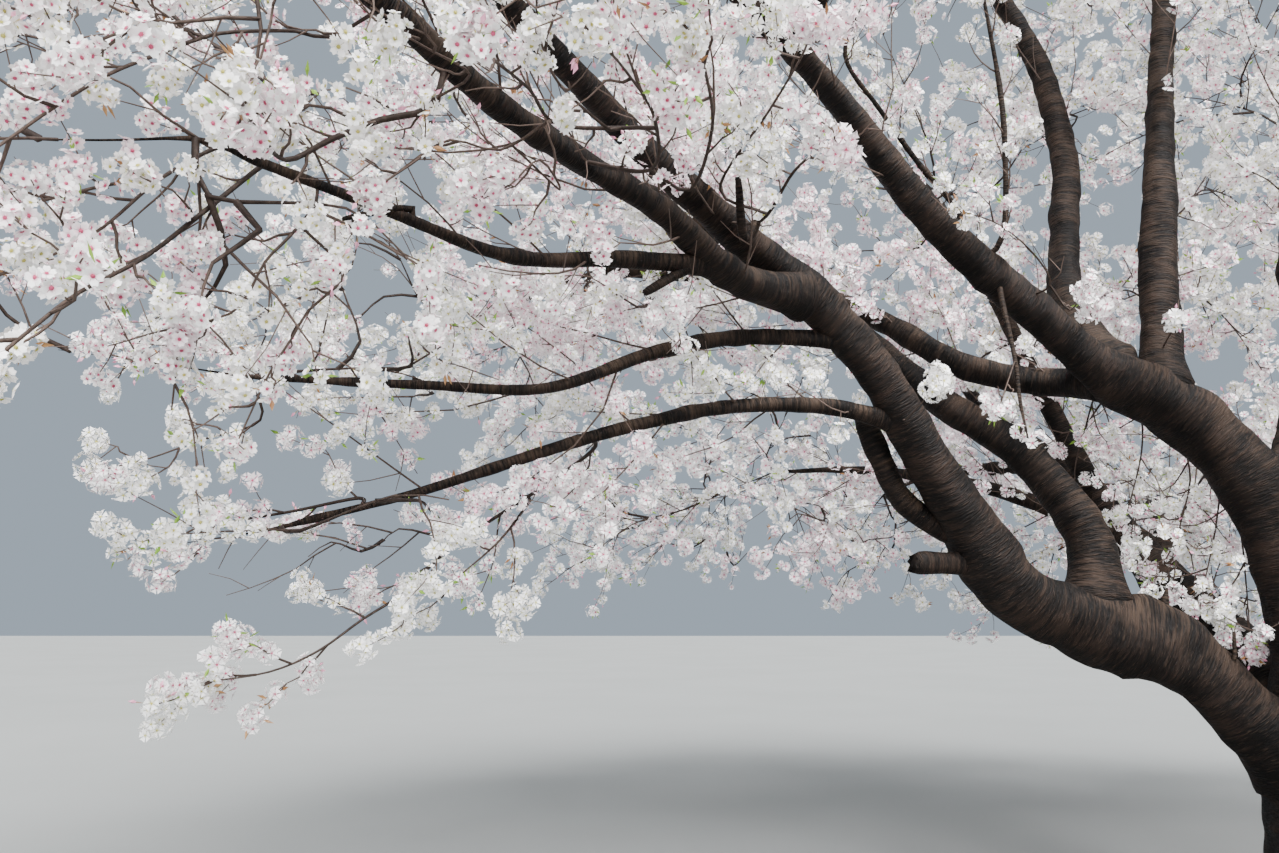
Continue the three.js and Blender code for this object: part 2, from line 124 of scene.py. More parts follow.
def line_of(
    start: Array, length: float, headings: Sequence[float], climbs: Sequence[float], step: float
) -> Array:
    """The line of a limb, by the source's rule.

    Args:
        start: Its first point, in metres.
        length: Its length in millimetres.
        headings: Headings from foot to tip, in degrees.
        climbs: Climbs from foot to tip, in degrees.
        step: About how far apart its points are, in millimetres.

    Returns:
        The points in metres.
    """
    count = round(length / step)
    line = [start]
    for i in range(count):
        share = (i + 0.5) / count
        ahead = towards(along(headings, share), along(climbs, share))
        line.append(line[-1] + ahead * (length / count) * MM)
    return np.array(line)


def smoothed(line: Array, step: float) -> Array:
    """A smooth curve through the points of a line.

    Args:
        line: The points.
        step: About how far apart the curve's points are, in metres.

    Returns:
        The curve's points.
    """
    padded = np.vstack([2 * line[0] - line[1], line, 2 * line[-1] - line[-2]])
    pieces = []
    for a, b, c, d in zip(padded, padded[1:], padded[2:], padded[3:]):
        count = max(1, round(float(np.linalg.norm(c - b)) / step))
        t = (np.arange(count) / count)[:, None]
        pieces.append(
            0.5 * (2 * b + (c - a) * t + (2 * a - 5 * b + 4 * c - d) * t**2 + (3 * b - a - 3 * c + d) * t**3)
        )
    return np.vstack([*pieces, line[-1:]])


@dataclass(frozen=True)
class PhotoView:
    """The photograph's view, for what is placed by where the photograph shows it.

    Attributes:
        stand: Where its camera stands.
        pitch: How far it looks up, in degrees.
        lens: Its focal length in millimetres on a sensor 36 mm wide.
        size: The photograph's width and height in pixels.
        open_places: Left, top, right and bottom of the places that the photograph shows open.
        thin_places: The same for the gaps between its garlands, where twigs are nearly bare.
        nearest: How near something still counts as seen, in metres.
    """

    stand: Triple = (-3.25, -4.8, 1.5)
    pitch: float = 10.56
    lens: float = 28.0
    size: tuple[int, int] = (1279, 853)
    open_places: tuple[Box, ...] = (
        (-900, 350, 70, 1200),
        (-900, 490, 125, 1200),
        (-900, 610, 900, 1200),
    )
    thin_places: tuple[Box, ...] = (
        (0, 124, 58, 192), (44, 88, 64, 108), (98, 6, 132, 26), (110, 148, 152, 174),
        (160, 92, 207, 168), (128, 260, 182, 302), (210, 34, 230, 72), (214, 214, 252, 272),
        (318, 48, 358, 106), (345, 228, 425, 318), (0, 312, 62, 350), (40, 350, 78, 400),
        (134, 376, 172, 416), (222, 408, 308, 450), (200, 470, 282, 496), (404, 400, 456, 446),
        (372, 462, 452, 526), (356, 520, 420, 592), (206, 536, 345, 606),
    )
    nearest: float = 0.3

    def axes(self) -> tuple[Array, Array, float]:
        """The directions ahead and up, and the focal length in pixels."""
        return towards(90, self.pitch), towards(90, self.pitch + 90), self.lens / SENSOR_WIDTH * self.size[0]

    def point(self, x: float, y: float, depth: float) -> Array:
        """The point at a pixel of the photograph that lies this far along +Y from the camera."""
        ahead, up, focal = self.axes()
        way = ahead * focal - up * (y - self.size[1] / 2)
        way[0] += x - self.size[0] / 2
        return np.array(self.stand) + way * depth / way[1]

    def seen(self, points: Array) -> tuple[Array, Array, Array]:
        """How far across and down the photograph each point is seen, and how far ahead it lies."""
        ahead, up, focal = self.axes()
        out = points - np.array(self.stand)
        far = out @ ahead
        scale = focal / above_zero(far)
        return self.size[0] / 2 + scale * out[:, 0], self.size[1] / 2 - scale * (out @ up), far

    def lies_in(self, points: Array, places: Iterable[Box]) -> Array:
        """Whether each point is seen in one of these places of the photograph."""
        x, y, far = self.seen(points)
        within = np.zeros(len(points), bool)
        for left, top, right, bottom in places:
            within |= (x > left) & (x < right) & (y > top) & (y < bottom) & (far > self.nearest)
        return within

    def shows_open(self, points: Array) -> bool:
        """Whether any of the points lies where the photograph shows none of the tree."""
        return bool(self.lies_in(points, self.open_places).any())


@dataclass(frozen=True)
class LimbPlan:
    """How a limb grows: what carries it, where, and how it runs from foot to tip."""

    name: str
    carrier: str
    at: float
    length: float
    headings: tuple[float, ...]
    climbs: tuple[float, ...]
    radii: tuple[float, ...]


@dataclass(frozen=True)
class MassPlan:
    """Where a mass of blossom lies beyond its bough's tip, and its half-extents."""

    on: str
    ahead: float
    turn: float
    climb: float
    half: Triple


LEFT_BOUGHS = (
    LimbPlan(
        "low_left", "trunk", 0.58, 5390, (180, 178, 182, 202, 208, 208, 214, 222, 224),
        (52, 44, 10, 50, 58, 36, 24, 28, 28), (158, 150, 145, 138, 104, 84, 75, 59, 45),
    ),
    LimbPlan(
        "rise", "trunk", 0.76, 5110, (178, 166, 162, 178, 198, 202, 210, 206, 204),
        (88, 86, 68, 30, 36, 32, 44, 36, 34), (172, 166, 148, 116, 98, 84, 72, 60, 46),
    ),
    LimbPlan(
        "fork", "low_left", 0.65, 2350, (216, 224, 220, 234, 234, 234), (-34, 34, 10, 4, 8, 18),
        (80, 66, 52, 46, 42, 36),
    ),
    LimbPlan("reach", "fork", 0.23, 1900, (204, 214, 216, 221), (0, -14, 10, 4), (38, 22)),
    LimbPlan(
        "elbow", "low_left", 0.25, 3720, (40, 144, 182, 170, 148, 146, 150),
        (88, 62, 32, 46, 40, 40, 40), (112, 96, 88, 76, 66, 54, 42),
    ),
    LimbPlan(
        "upper_left_arm", "low_left", 0.6, 2450, (180, 214, 198, 188, 192), (6, -14, -22, 4, -2),
        (38, 22),
    ),
    LimbPlan(
        "lower_left_arm", "low_left", 0.51, 2700, (200, 198, 194, 192, 190), (12, -4, -18, -20, -14),
        (40, 22),
    ),
    LimbPlan(
        "cross", "rise", 0.42, 3050, (114, 170, 158, 152, 156, 160), (4, 16, 40, 22, 12, 10), (78, 34),
    ),
    LimbPlan("mast", "rise", 0.372, 3600, (54, 44, 36, 58), (76, 74, 76, 80), (104, 46)),
    LimbPlan(
        "back_mast", "rise", 0.42, 3550, (114, 76, 42, 110, 160, 160), (46, 56, 72, 82, 68, 64),
        (108, 50),
    ),
    LimbPlan("edge_mast", "rise", 0.255, 4150, (34, 34, 2, -4, -16), (10, 84, 82, 84, 74), (98, 46)),
    LimbPlan("shoulder", "rise", 0.92, 1500, (70, 0, 310), (72, 62, 52), (40, 26)),
    LimbPlan("front_arm", "rise", 0.88, 2600, (300, 280, 262, 250), (34, 20, 4, -6), (44, 26)),
)

STUBS = (
    LimbPlan("broken_limb", "low_left", 0.385, 840, (170, 182, 192, 180), (18, 34, 66, 68), (66, 48)),
    LimbPlan("cut_limb", "low_left", 0.365, 440, (196, 198), (0, -4), (56, 44)),
    LimbPlan("cut_arm", "reach", 0.08, 260, (202, 201), (-28, -40), (24, 18)),
)
# These stubs take little painted top light, so their tops stay dark
DARK_STUBS = ("cut_limb", "cut_arm")  # as dark as the boughs that bear them
STUB_RING_STEP = 220.0  # between two points of a stub's line, as in the source


@dataclass(frozen=True)
class Burr:
    """A swelling of the bark, or a hollow where its height is negative.

    Attributes:
        on: The bough that bears it.
        at: How far along the bough it is, in metres.
        way: The side that it is on.
        size: How far it spreads, in metres.
        height: How far it stands out, in metres.
    """

    on: str
    at: float
    way: Triple
    size: float
    height: float


BURRS = (
    Burr("low_left", 1.16, (0.0, -0.1, 1.0), 0.14, 0.075),
    Burr("low_left", 0.98, (0.0, -0.3, 1.0), 0.08, 0.05),
    Burr("low_left", 1.13, (0.0, -0.9, 1.0), 0.05, -0.05),
    Burr("low_left", 1.24, (0.0, -0.9, 1.0), 0.045, -0.03),
    Burr("low_left", 2.3, (-0.2, -1.0, 0.1), 0.07, 0.03),
    Burr("rise", 1.74, (0.6, -0.1, 1.0), 0.12, 0.06),
    Burr("rise", 2.02, (0.0, -0.5, 1.0), 0.09, 0.035),
    Burr("rise", 2.75, (0.0, -1.0, -0.1), 0.07, 0.03),
)

# Boughs, and the shares of their length between which the photograph shows them bare
BARE_STRETCHES = (
    ("low_left", 0.0, 0.78),
    ("low_left", 0.87, 0.97),
    ("fork", 0.0, 1.0),
    ("reach", 0.0, 0.9),
    ("rise", 0.25, 0.84),
    ("elbow", 0.0, 0.55),
    ("cross", 0.0, 0.3),
    ("mast", 0.0, 0.9),
    ("back_mast", 0.0, 0.75),
    ("upper_left_arm", 0.12, 0.8),
    ("lower_left_arm", 0.12, 0.8),
)


@dataclass(frozen=True)
class ShootPlan:
    """A shoot that the photograph shows, by the places that it passes there.

    Attributes:
        on: The bough that it grows on, or whose mass it belongs to.
        radii: Its radii in millimetres from foot to tip.
        places: Across and down the photograph in pixels and how deep in metres, from foot to tip.
        sprays: The lengths of its side twigs in metres from foot to tip, and none for a bare shoot.
        crown: How many times more flowers than a usual bunch its tip bears.
    """

    on: str
    radii: Pair
    places: tuple[Triple, ...]
    sprays: tuple[float, ...] = (0.2, 0.3, 0.2)
    crown: float = 3.0


SHOOTS = (
    ShootPlan(
        "reach", (9, 4),
        (
            (262, 166, 2.95), (201, 214, 2.7), (145, 257, 2.5),
            (80, 292, 2.25), (30, 330, 2.05), (-20, 372, 1.95),
        ),
        (0.1, 0.3, 0.22),
    ),
    ShootPlan(
        "reach", (8, 3), ((228, 145, 2.95), (163, 177, 2.75), (102, 228, 2.5), (37, 263, 2.3)),
        (0.2, 0.3, 0.15),
    ),
    ShootPlan(
        "reach", (6, 3),
        ((163, 177, 2.75), (107, 185, 2.6), (54, 198, 2.5), (0, 208, 2.4), (-70, 212, 2.3)),
    ),
    ShootPlan(
        "reach", (6, 3),
        (
            (316, 204, 3.0), (290, 236, 2.95), (265, 262, 2.9),
            (241, 306, 2.85), (214, 319, 2.85), (178, 333, 2.8),
        ),
        (0.15, 0.25, 0.12),
    ),
    ShootPlan(
        "reach", (6, 2.5),
        (
            (345, 270, 3.1), (332, 290, 3.05), (308, 311, 3.0),
            (292, 338, 3.0), (269, 374, 2.95), (237, 443, 2.9),
        ),
        (0.1, 0.12), 1.5,
    ),
    ShootPlan(
        "fork", (8, 3.5),
        (
            (330, 37, 2.75), (295, 31, 2.7), (233, 32, 2.6), (201, 38, 2.5), (161, 53, 2.45),
            (107, 75, 2.35), (50, 110, 2.25), (0, 145, 2.15), (-50, 175, 2.1),
        ),
        (0.15, 0.32, 0.2),
    ),
    ShootPlan(
        "fork", (6, 3),
        ((201, 36, 2.5), (166, 25, 2.45), (134, 29, 2.4), (100, 40, 2.35), (55, 66, 2.3)),
    ),
    ShootPlan(
        "fork", (8, 5), ((110, -30, 2.4), (70, 5, 2.35), (48, 24, 2.3), (0, 39, 2.2), (-50, 50, 2.15)),
    ),
    ShootPlan(
        "fork", (12, 4),
        (
            (430, 107, 2.8), (380, 120, 2.75), (332, 139, 2.65),
            (285, 160, 2.5), (255, 125, 2.2), (240, 100, 1.95),
        ),
        (0.15, 0.2, 0.08), 3.6,
    ),
    ShootPlan(
        "fork", (6, 3),
        ((362, 124, 2.75), (330, 108, 2.7), (308, 105, 2.65), (281, 111, 2.6), (262, 124, 2.55)),
    ),
    ShootPlan(
        "fork", (9, 4), ((650, 170, 3.1), (655, 120, 2.75), (625, 70, 2.4), (592, 35, 2.15)),
        (0.1, 0.22, 0.1), 3.6,
    ),
    ShootPlan(
        "fork", (8, 4), ((560, 125, 2.85), (530, 90, 2.6), (500, 65, 2.3), (476, 48, 2.0)),
        (0.1, 0.2, 0.1), 3.6,
    ),
    ShootPlan("fork", (7, 3), ((610, 130, 2.8), (560, 85, 2.5), (540, 40, 2.3)), (0.15, 0.2, 0.12)),
    ShootPlan(
        "fork", (8, 3.5), ((690, 190, 3.2), (712, 130, 2.9), (705, 70, 2.6), (690, 30, 2.4)),
        (0.15, 0.28, 0.15),
    ),
    ShootPlan("fork", (6, 3), ((470, 75, 2.7), (430, 50, 2.5), (395, 30, 2.35)), (0.15, 0.2)),
    ShootPlan(
        "fork", (6, 3), ((500, 150, 2.9), (450, 140, 2.8), (410, 165, 2.7), (380, 185, 2.6)),
        (0.15, 0.22, 0.1),
    ),
    ShootPlan(
        "fork", (6, 3), ((560, 190, 3.1), (540, 160, 2.9), (510, 185, 2.8), (480, 200, 2.75)),
        (0.12, 0.2, 0.1),
    ),
    ShootPlan(
        "low_left", (9, 3.5), ((762, 220, 3.7), (795, 170, 3.4), (835, 140, 3.0), (850, 150, 2.75)),
        (0.1, 0.25, 0.1), 3.6,
    ),
    ShootPlan(
        "low_left", (8, 3.5), ((720, 190, 3.6), (770, 110, 3.1), (800, 60, 2.8), (812, 30, 2.5)),
        (0.15, 0.28, 0.1), 3.6,
    ),
    ShootPlan("low_left", (21, 16), ((744, 240, 3.72), (738, 178, 3.6)), (), 0),
    ShootPlan("low_left", (6, 3), ((905, 420, 4.35), (935, 388, 3.85)), (), 3.6),
    ShootPlan(
        "rise", (16, 7),
        ((1003, 235, 4.6), (1005, 150, 4.5), (1000, 90, 4.45), (985, 5, 4.4), (975, -60, 4.3)),
        (0.2, 0.3),
    ),
    ShootPlan(
        "rise", (16, 8),
        ((960, 215, 4.6), (920, 165, 4.5), (880, 110, 4.4), (845, 55, 4.3), (866, 0, 4.2)), (0.15, 0.3),
    ),
    ShootPlan(
        "rise", (15, 5), ((1002, 300, 4.6), (1015, 360, 4.5), (1020, 400, 4.45), (1028, 438, 4.4)), (),
        1.6,
    ),
    ShootPlan("rise", (6, 3), ((1015, 360, 4.5), (1000, 405, 4.3)), (0.1,), 3.6),
    ShootPlan(
        "rise", (7, 3), ((1050, 285, 4.6), (1035, 255, 4.5), (1000, 225, 4.4), (965, 212, 4.3)),
        (0.15, 0.2),
    ),
    ShootPlan("rise", (7, 3), ((1070, 310, 4.6), (1085, 285, 4.3)), (0.1,), 3.6),
    ShootPlan(
        "lower_left_arm", (11, 3.5),
        (
            (592, 451, 4.25), (547, 484, 4.15), (490, 521, 4.1), (449, 549, 4.05), (400, 595, 3.95),
            (363, 619, 3.9), (318, 651, 3.8), (269, 672, 3.75), (206, 682, 3.7),
        ),
        (0.3, 0.35, 0.2),
    ),
    ShootPlan("lower_left_arm", (8, 3), ((530, 500, 4.15), (500, 540, 4.0), (457, 578, 3.9)), (0.3, 0.3)),
    ShootPlan(
        "lower_left_arm", (10, 3.5),
        ((359, 498, 4.05), (294, 511, 3.95), (240, 520, 3.85), (196, 528, 3.8), (165, 548, 3.75)),
        (0.25, 0.3, 0.2),
    ),
    *(
        ShootPlan(on, (thick, 4), places, (0.4, 0.7, 0.5))
        for on, thick, places in (
            ("mast", 9, ((1175, 215, 5.5), (1205, 190, 6.1), (1240, 205, 6.7), (1275, 250, 7.2))),
            ("mast", 9, ((1175, 290, 5.4), (1205, 300, 6.0), (1235, 330, 6.6), (1262, 370, 7.1))),
            ("mast", 8, ((1150, 300, 5.4), (1125, 290, 6.0), (1095, 300, 6.7), (1070, 330, 7.2))),
            ("edge_mast", 9, ((1290, 470, 5.5), (1262, 455, 6.2), (1238, 450, 6.9), (1215, 470, 7.5))),
        )
    ),
    ShootPlan("mast", (6, 3), ((1162, 350, 4.9), (1175, 325, 4.7)), (0.15,), 3.6),
    ShootPlan("back_mast", (6, 3), ((1078, 330, 4.9), (1095, 310, 4.6)), (0.15,), 3.6),
    ShootPlan(
        "rise", (9, 4), ((1120, 385, 5.3), (1090, 420, 6.0), (1075, 460, 6.7), (1080, 500, 7.3)),
        (0.35, 0.6, 0.5),
    ),
    ShootPlan(
        "rise", (9, 4), ((1210, 470, 5.3), (1190, 500, 6.0), (1180, 530, 6.7), (1195, 560, 7.3)),
        (0.35, 0.6, 0.5),
    ),
    ShootPlan(
        "upper_left_arm", (7, 3), ((260, 420, 3.8), (200, 440, 3.7), (150, 458, 3.65), (100, 470, 3.6)),
        (0.2, 0.2, 0.1),
    ),
    ShootPlan(
        "reach", (17, 9), ((412, 209, 3.2), (385, 210, 3.12), (366, 214, 3.08), (343, 219, 3.05)), (), 0,
    ),
    ShootPlan("low_left", (60, 5), ((1162, 616, 4.8), (1167, 588, 4.8)), (), 0),
    ShootPlan("low_left", (13, 10), ((1233, 664, 4.72), (1234, 632, 4.72)), (), 0),
    *(
        ShootPlan("rise", (thick, 3), places, (0.35, 0.45, 0.35), 2)
        for thick, places in (
            (8, ((1226, 478, 5.0), (1240, 530, 4.98), (1246, 585, 4.98), (1250, 635, 4.98))),
            (7, ((1222, 478, 5.0), (1215, 530, 5.0), (1206, 575, 5.0), (1200, 608, 5.0))),
            (8, ((1186, 440, 5.15), (1190, 480, 5.15), (1180, 525, 5.2), (1168, 575, 5.2))),
            (8, ((1140, 412, 5.3), (1142, 450, 5.4), (1132, 495, 5.5), (1122, 530, 5.55))),
            (8, ((1098, 390, 5.4), (1085, 430, 5.6), (1075, 470, 5.75), (1078, 505, 5.8))),
        )
    ),
    *(
        ShootPlan("rise", (5, 3), ((x, y, depth), (tip_x, tip_y, depth)), (), 5)
        for x, y, tip_x, tip_y, depth in (
            (1246, 610, 1252, 650, 4.98), (1232, 600, 1232, 634, 4.98),
            (1212, 590, 1216, 614, 5.0), (1196, 575, 1194, 600, 5.05),
            (1176, 560, 1172, 592, 5.15), (1150, 530, 1150, 568, 5.3),
            (1136, 500, 1130, 545, 5.4), (1118, 480, 1112, 515, 5.5),
        )
    ),
)


@dataclass(frozen=True)
class SidePlan:
    """One of the three sides of the crown that repeat one pattern of boughs.

    Attributes:
        side: What the side is called.
        heading: Where its main bough leads, in degrees.
        at: The share of the trunk's axis where that bough leaves.
        foot: The bough's radius there, in millimetres.
        size: How long its boughs are against the pattern.
        climber: How far its upright bough turns off in the end, in degrees.
    """

    side: str
    heading: float
    at: float
    foot: float
    size: float
    climber: float

    def boughs(self) -> list[LimbPlan]:
        """The plans of this side's five boughs."""
        foot, climber = self.foot, self.climber
        pattern = (
            ("", "trunk", self.at, 3500, (-12, 8, -4, 4, -4), (54, 40, 44, 34, 40), (foot, 46)),
            ("near_arm", self.side, 0.36, 2300, (-44, -40, -26), (36, 14, 2), (foot * 0.42, 24)),
            ("far_arm", self.side, 0.44, 2300, (46, 40, 28), (34, 14, 2), (foot * 0.42, 24)),
            ("outer_arm", self.side, 0.68, 1900, (14, 4, -4), (8, 4, -8), (foot * 0.36, 24)),
            (
                "climber", self.side, 0.5, 2400, (climber + 60, climber + 30, climber), (66, 70, 60),
                (foot * 0.46, 30),
            ),
        )
        return [
            LimbPlan(
                f"{self.side}_{part}" if part else self.side,
                carrier,
                at,
                length * self.size,
                tuple(self.heading + turn for turn in turns),
                climbs,
                radii,
            )
            for part, carrier, at, length, turns, climbs, radii in pattern
        ]


SIDES = (
    SidePlan("right", 18, 0.8, 150, 1.06, 44),
    SidePlan("rear", 104, 0.72, 150, 1.04, 10),
    SidePlan("front_right", 294, 0.84, 138, 1, 44),
)

LEFT_MASSES = (
    MassPlan("low_left", 800, -10, 34, (1500, 1400, 1050)),
    MassPlan("rise", 800, -20, 40, (1500, 1500, 1150)),
    MassPlan("fork", 700, 8, 6, (1350, 1350, 850)),
    MassPlan("reach", 700, -20, -6, (1350, 1250, 850)),
    MassPlan("elbow", 800, 4, 22, (1600, 1600, 1150)),
    MassPlan("upper_left_arm", 650, -16, 8, (1350, 1350, 800)),
    MassPlan("lower_left_arm", 600, -10, -10, (1300, 1400, 850)),
    MassPlan("cross", 800, 4, -10, (1600, 1600, 1050)),
    MassPlan("mast", 800, 0, 66, (1600, 1600, 1250)),
    MassPlan("back_mast", 850, -10, 52, (1600, 1600, 1250)),
    MassPlan("edge_mast", 800, -20, 60, (1600, 1600, 1250)),
    MassPlan("shoulder", 850, 10, 56, (1600, 1600, 1200)),
    MassPlan("front_arm", 800, 10, 6, (1500, 1500, 1000)),
)
SIDE_MASSES = (
    MassPlan("", 850, 0, 36, (1600, 1600, 1200)),
    MassPlan("near_arm", 750, 0, -8, (1600, 1600, 1050)),
    MassPlan("far_arm", 750, 0, -8, (1600, 1600, 1050)),
    MassPlan("outer_arm", 750, 0, -16, (1500, 1500, 1050)),
    MassPlan("climber", 850, 0, 54, (1600, 1600, 1200)),
)


class Flower(Enum):
    """The kinds of flower that are dealt out by spray."""

    WHITE_GREEN = "white_petals_green_hearts"
    WHITE_CRIMSON = "white_petals_crimson_hearts"
    BLUSH = "blush_petals_crimson_hearts"


class Extra(Enum):
    """What opens among the flowers."""

    GREEN_LEAF = "green_leaves"
    BRONZE_LEAF = "bronze_leaves"
    BUD = "pink_buds"


class Detail(Enum):
    """How finely a region's flowers are made."""

    NOTCHED = "lobed petals with a notch"
    CLEFT = "petals with a notch"
    PLAIN = "plain petals"


class Nodes:
    """The nodes of a material or of a tree of geometry nodes."""

    def __init__(self, tree: bpy.types.NodeTree) -> None:
        """Takes the tree that they go in."""
        self.tree = tree

    def feed(self, socket: Socket, value: object) -> None:
        """Gives an input a value, or a link from another node."""
        if isinstance(value, Socket):
            self.tree.links.new(value, socket)
        else:
            socket.default_value = value

    def node(
        self, kind: str, inputs: dict[str | int, object] | None = None, **settings: object
    ) -> bpy.types.Node:
        """Adds a node.

        Args:
            kind: The node's type.
            inputs: A value or a socket for each of its inputs, by name or number.
            settings: Its own settings.

        Returns:
            The node.
        """
        made = self.tree.nodes.new(kind)
        for key, value in settings.items():
            setattr(made, key, value)
        for key, value in (inputs or {}).items():
            self.feed(made.inputs[key], value)
        return made

    def math(self, operation: str, first: object, second: object) -> Socket:
        """What an operation makes of two values."""
        return self.node("ShaderNodeMath", {0: first, 1: second}, operation=operation).outputs[0]


class Paint(Nodes):
    """Builds the nodes of one material round one Principled shader."""

    def __init__(self, name: str) -> None:
        """Starts a material of this name."""
        self.material = bpy.data.materials.new(name)
        self.material.use_nodes = True
        super().__init__(self.material.node_tree)
        self.shader = self.tree.nodes["Principled BSDF"]

    def attribute(self, name: str, output: str = "Fac") -> Socket:
        """The value that a mesh's points carry under a name."""
        return self.node("ShaderNodeAttribute", attribute_name=name).outputs[output]

    def object_place(self) -> Socket:
        """Where a point lies in its object's own frame."""
        return self.node("ShaderNodeTexCoord").outputs["Object"]

    def stretched(self, value: Socket, given: Pair, wanted: Pair = (0.0, 1.0)) -> Socket:
        """A value stretched from one range to another, and kept within that."""
        ends = {"From Min": given[0], "From Max": given[1], "To Min": wanted[0], "To Max": wanted[1]}
        return self.node("ShaderNodeMapRange", {"Value": value, **ends}).outputs["Result"]

    def ramp(self, factor: Socket, stops: Sequence[tuple[float, Triple]]) -> Socket:
        """The colour of a ramp with a place and a colour for each stop."""
        made = self.node("ShaderNodeValToRGB", {"Fac": factor})
        elements = made.color_ramp.elements
        while len(elements) < len(stops):
            elements.new(1.0)
        for element, (place, colour) in zip(elements, stops):
            element.position = place
            element.color = (*colour, 1.0)
        return made.outputs["Color"]

    def noise(self, place: Socket, scale: float, detail: float) -> Socket:
        """The value of a noise texture at a place."""
        inputs = {"Vector": place, "Scale": scale, "Detail": detail}
        return self.node("ShaderNodeTexNoise", inputs).outputs["Fac"]

    def finish(self, colour: Socket, **values: object) -> Material:
        """Gives the shader its colour and, by name, its other inputs, and returns the material."""
        self.feed(self.shader.inputs["Base Color"], colour)
        for name, value in values.items():
            self.feed(self.shader.inputs[SHADER_INPUTS[name]], value)
        return self.material

    def bump(self, height: Socket, depth: float, strength: float) -> Socket:
        """The normals of a bump of this depth in metres."""
        made = self.node("ShaderNodeBump", {"Height": height, "Distance": depth, "Strength": strength})
        return made.outputs["Normal"]


SHADER_INPUTS = {"roughness": "Roughness", "specular": "Specular IOR Level", "normal": "Normal"}


@dataclass(frozen=True)
class BarkFinish:
    """Bark with level rings and short level pores, and painted top light: paler where it faces up.

    Attributes:
        name: The material's name.
        hollow: Its colour between the rings.
        middle: Its colour half way up them.
        ridge: Its colour on the rings.
        pale_and_top_lit: Its pale colour on pores and fine bark, and painted top light where the bark faces
            up.
        specular: How much it shines.
        rings: The scale and the detail of the rings' noise.
        pores: The same for the pores.
        plates: The same for the plates of bark that break the rings.
        ring_range: The noise from the hollows to the ridges.
        pore_range: The noise from plain bark to a pore.
        patch_range: The noise from dark bark to a pale patch, where painted top light goes on bark that faces
            up.
        relief: The bump's depth in metres, and its strength.
    """

    name: str = "cherry_bark"
    hollow: Triple = (0.0016, 0.0009, 0.0007)
    middle: Triple = (0.0066, 0.0039, 0.0029)
    ridge: Triple = (0.02, 0.012, 0.0086)
    # Pale colour of pores and fine bark; on bark that faces up it is painted top light
    pale_and_top_lit: Triple = (0.05, 0.033, 0.0225)
    specular: float = 0.16
    rings: tuple[Triple, float] = ((8.0, 8.0, 80.0), 5.0)
    pores: tuple[Triple, float] = ((24.0, 24.0, 190.0), 1.0)
    plates: tuple[Triple, float] = ((6.0, 6.0, 7.0), 6.0)
    ring_range: Pair = (0.82, 1.2)
    pore_range: Pair = (0.62, 0.72)
    patch_range: Pair = (0.9, 1.2)
    relief: Pair = (0.012, 0.9)

    def material(self) -> Material:
        """The finished material. It reads the places that each limb's mesh carries."""
        paint = Paint(self.name)
        place, top_light_and_pale = paint.attribute("bark_place", "Vector"), paint.attribute("sky_side")
        ring, pore, plate = (
            paint.noise(
                paint.node("ShaderNodeMapping", {"Vector": place, "Scale": scale}).outputs[0], 1.0, detail
            )
            for scale, detail in (self.rings, self.pores, self.plates)
        )
        mixed = paint.math("ADD", ring, plate)
        level = paint.stretched(mixed, self.ring_range)
        colour = paint.ramp(level, [(0.0, self.hollow), (0.5, self.middle), (1.0, self.ridge)])
        speck = paint.stretched(pore, self.pore_range, (0.0, 0.5))
        # Painted top light: the pale colour goes on upward-facing bark in patches, and on every pore
        patch = paint.stretched(mixed, self.patch_range, (0.0, 0.9))
        share = paint.math("MAXIMUM", paint.math("MULTIPLY", top_light_and_pale, patch), speck)
        tints = {"Factor": share, 6: colour, 7: (*self.pale_and_top_lit, 1.0)}
        tinted = paint.node("ShaderNodeMix", tints, data_type="RGBA")
        return paint.finish(
            tinted.outputs[2],
            roughness=paint.stretched(ring, (0.0, 1.0), (0.55, 0.9)),
            specular=self.specular,
            normal=paint.bump(paint.math("ADD", mixed, pore), *self.relief),
        )


@dataclass(frozen=True)
class TwigFinish:
    """The bark of twigs: dark brown where they are thick, and grey brown where they are fine."""

    name: str = "twig_bark"
    thick: Triple = (0.024, 0.015, 0.0112)
    fine: Triple = (0.1, 0.068, 0.054)
    radii: Pair = (0.0025, 0.007)
    spot_scale: float = 55.0

    def material(self) -> Material:
        """The finished material. It reads the thickness that the twigs' mesh carries."""
        paint = Paint(self.name)
        noise = paint.noise(paint.object_place(), self.spot_scale, 3.0)
        old = paint.stretched(paint.attribute("thickness"), self.radii)
        spots = paint.stretched(noise, (0.3, 0.7), (-0.3, 0.3))
        colour = paint.ramp(paint.math("ADD", old, spots), [(0.0, self.fine), (1.0, self.thick)])
        return paint.finish(colour, roughness=0.75, specular=0.25, normal=paint.bump(noise, 0.002, 0.6))


@dataclass(frozen=True)
class PlainFinish:
    """A base colour that wavers a little from place to place."""

    name: str
    colour: Triple
    shade: Triple
    scale: float = 30.0
    roughness: float = 0.6

    def material(self) -> Material:
        """The finished material."""
        paint = Paint(self.name)
        noise = paint.noise(paint.object_place(), self.scale, 3.0)
        return paint.finish(
            paint.ramp(noise, [(0.35, self.shade), (0.6, self.colour)]), roughness=self.roughness
        )


@dataclass(frozen=True)
class PetalFinish:
    """A petal's colour at its rim and at its heart's side."""

    name: str
    rim: Triple
    middle: Triple
    inner: Triple

    def material(self) -> Material:
        """The finished material. It reads how far out on its petal each place is."""
        paint = Paint(self.name)
        noise = paint.noise(paint.object_place(), 60.0, 2.0)
        waver = paint.stretched(noise, (0.0, 1.0), (-0.16, 0.16))
        level = paint.math("ADD", paint.attribute("petal_place"), waver)
        colour = paint.ramp(level, [(0.1, self.inner), (0.42, self.middle), (0.78, self.rim)])
        return paint.finish(colour, roughness=0.6, specular=0.3)


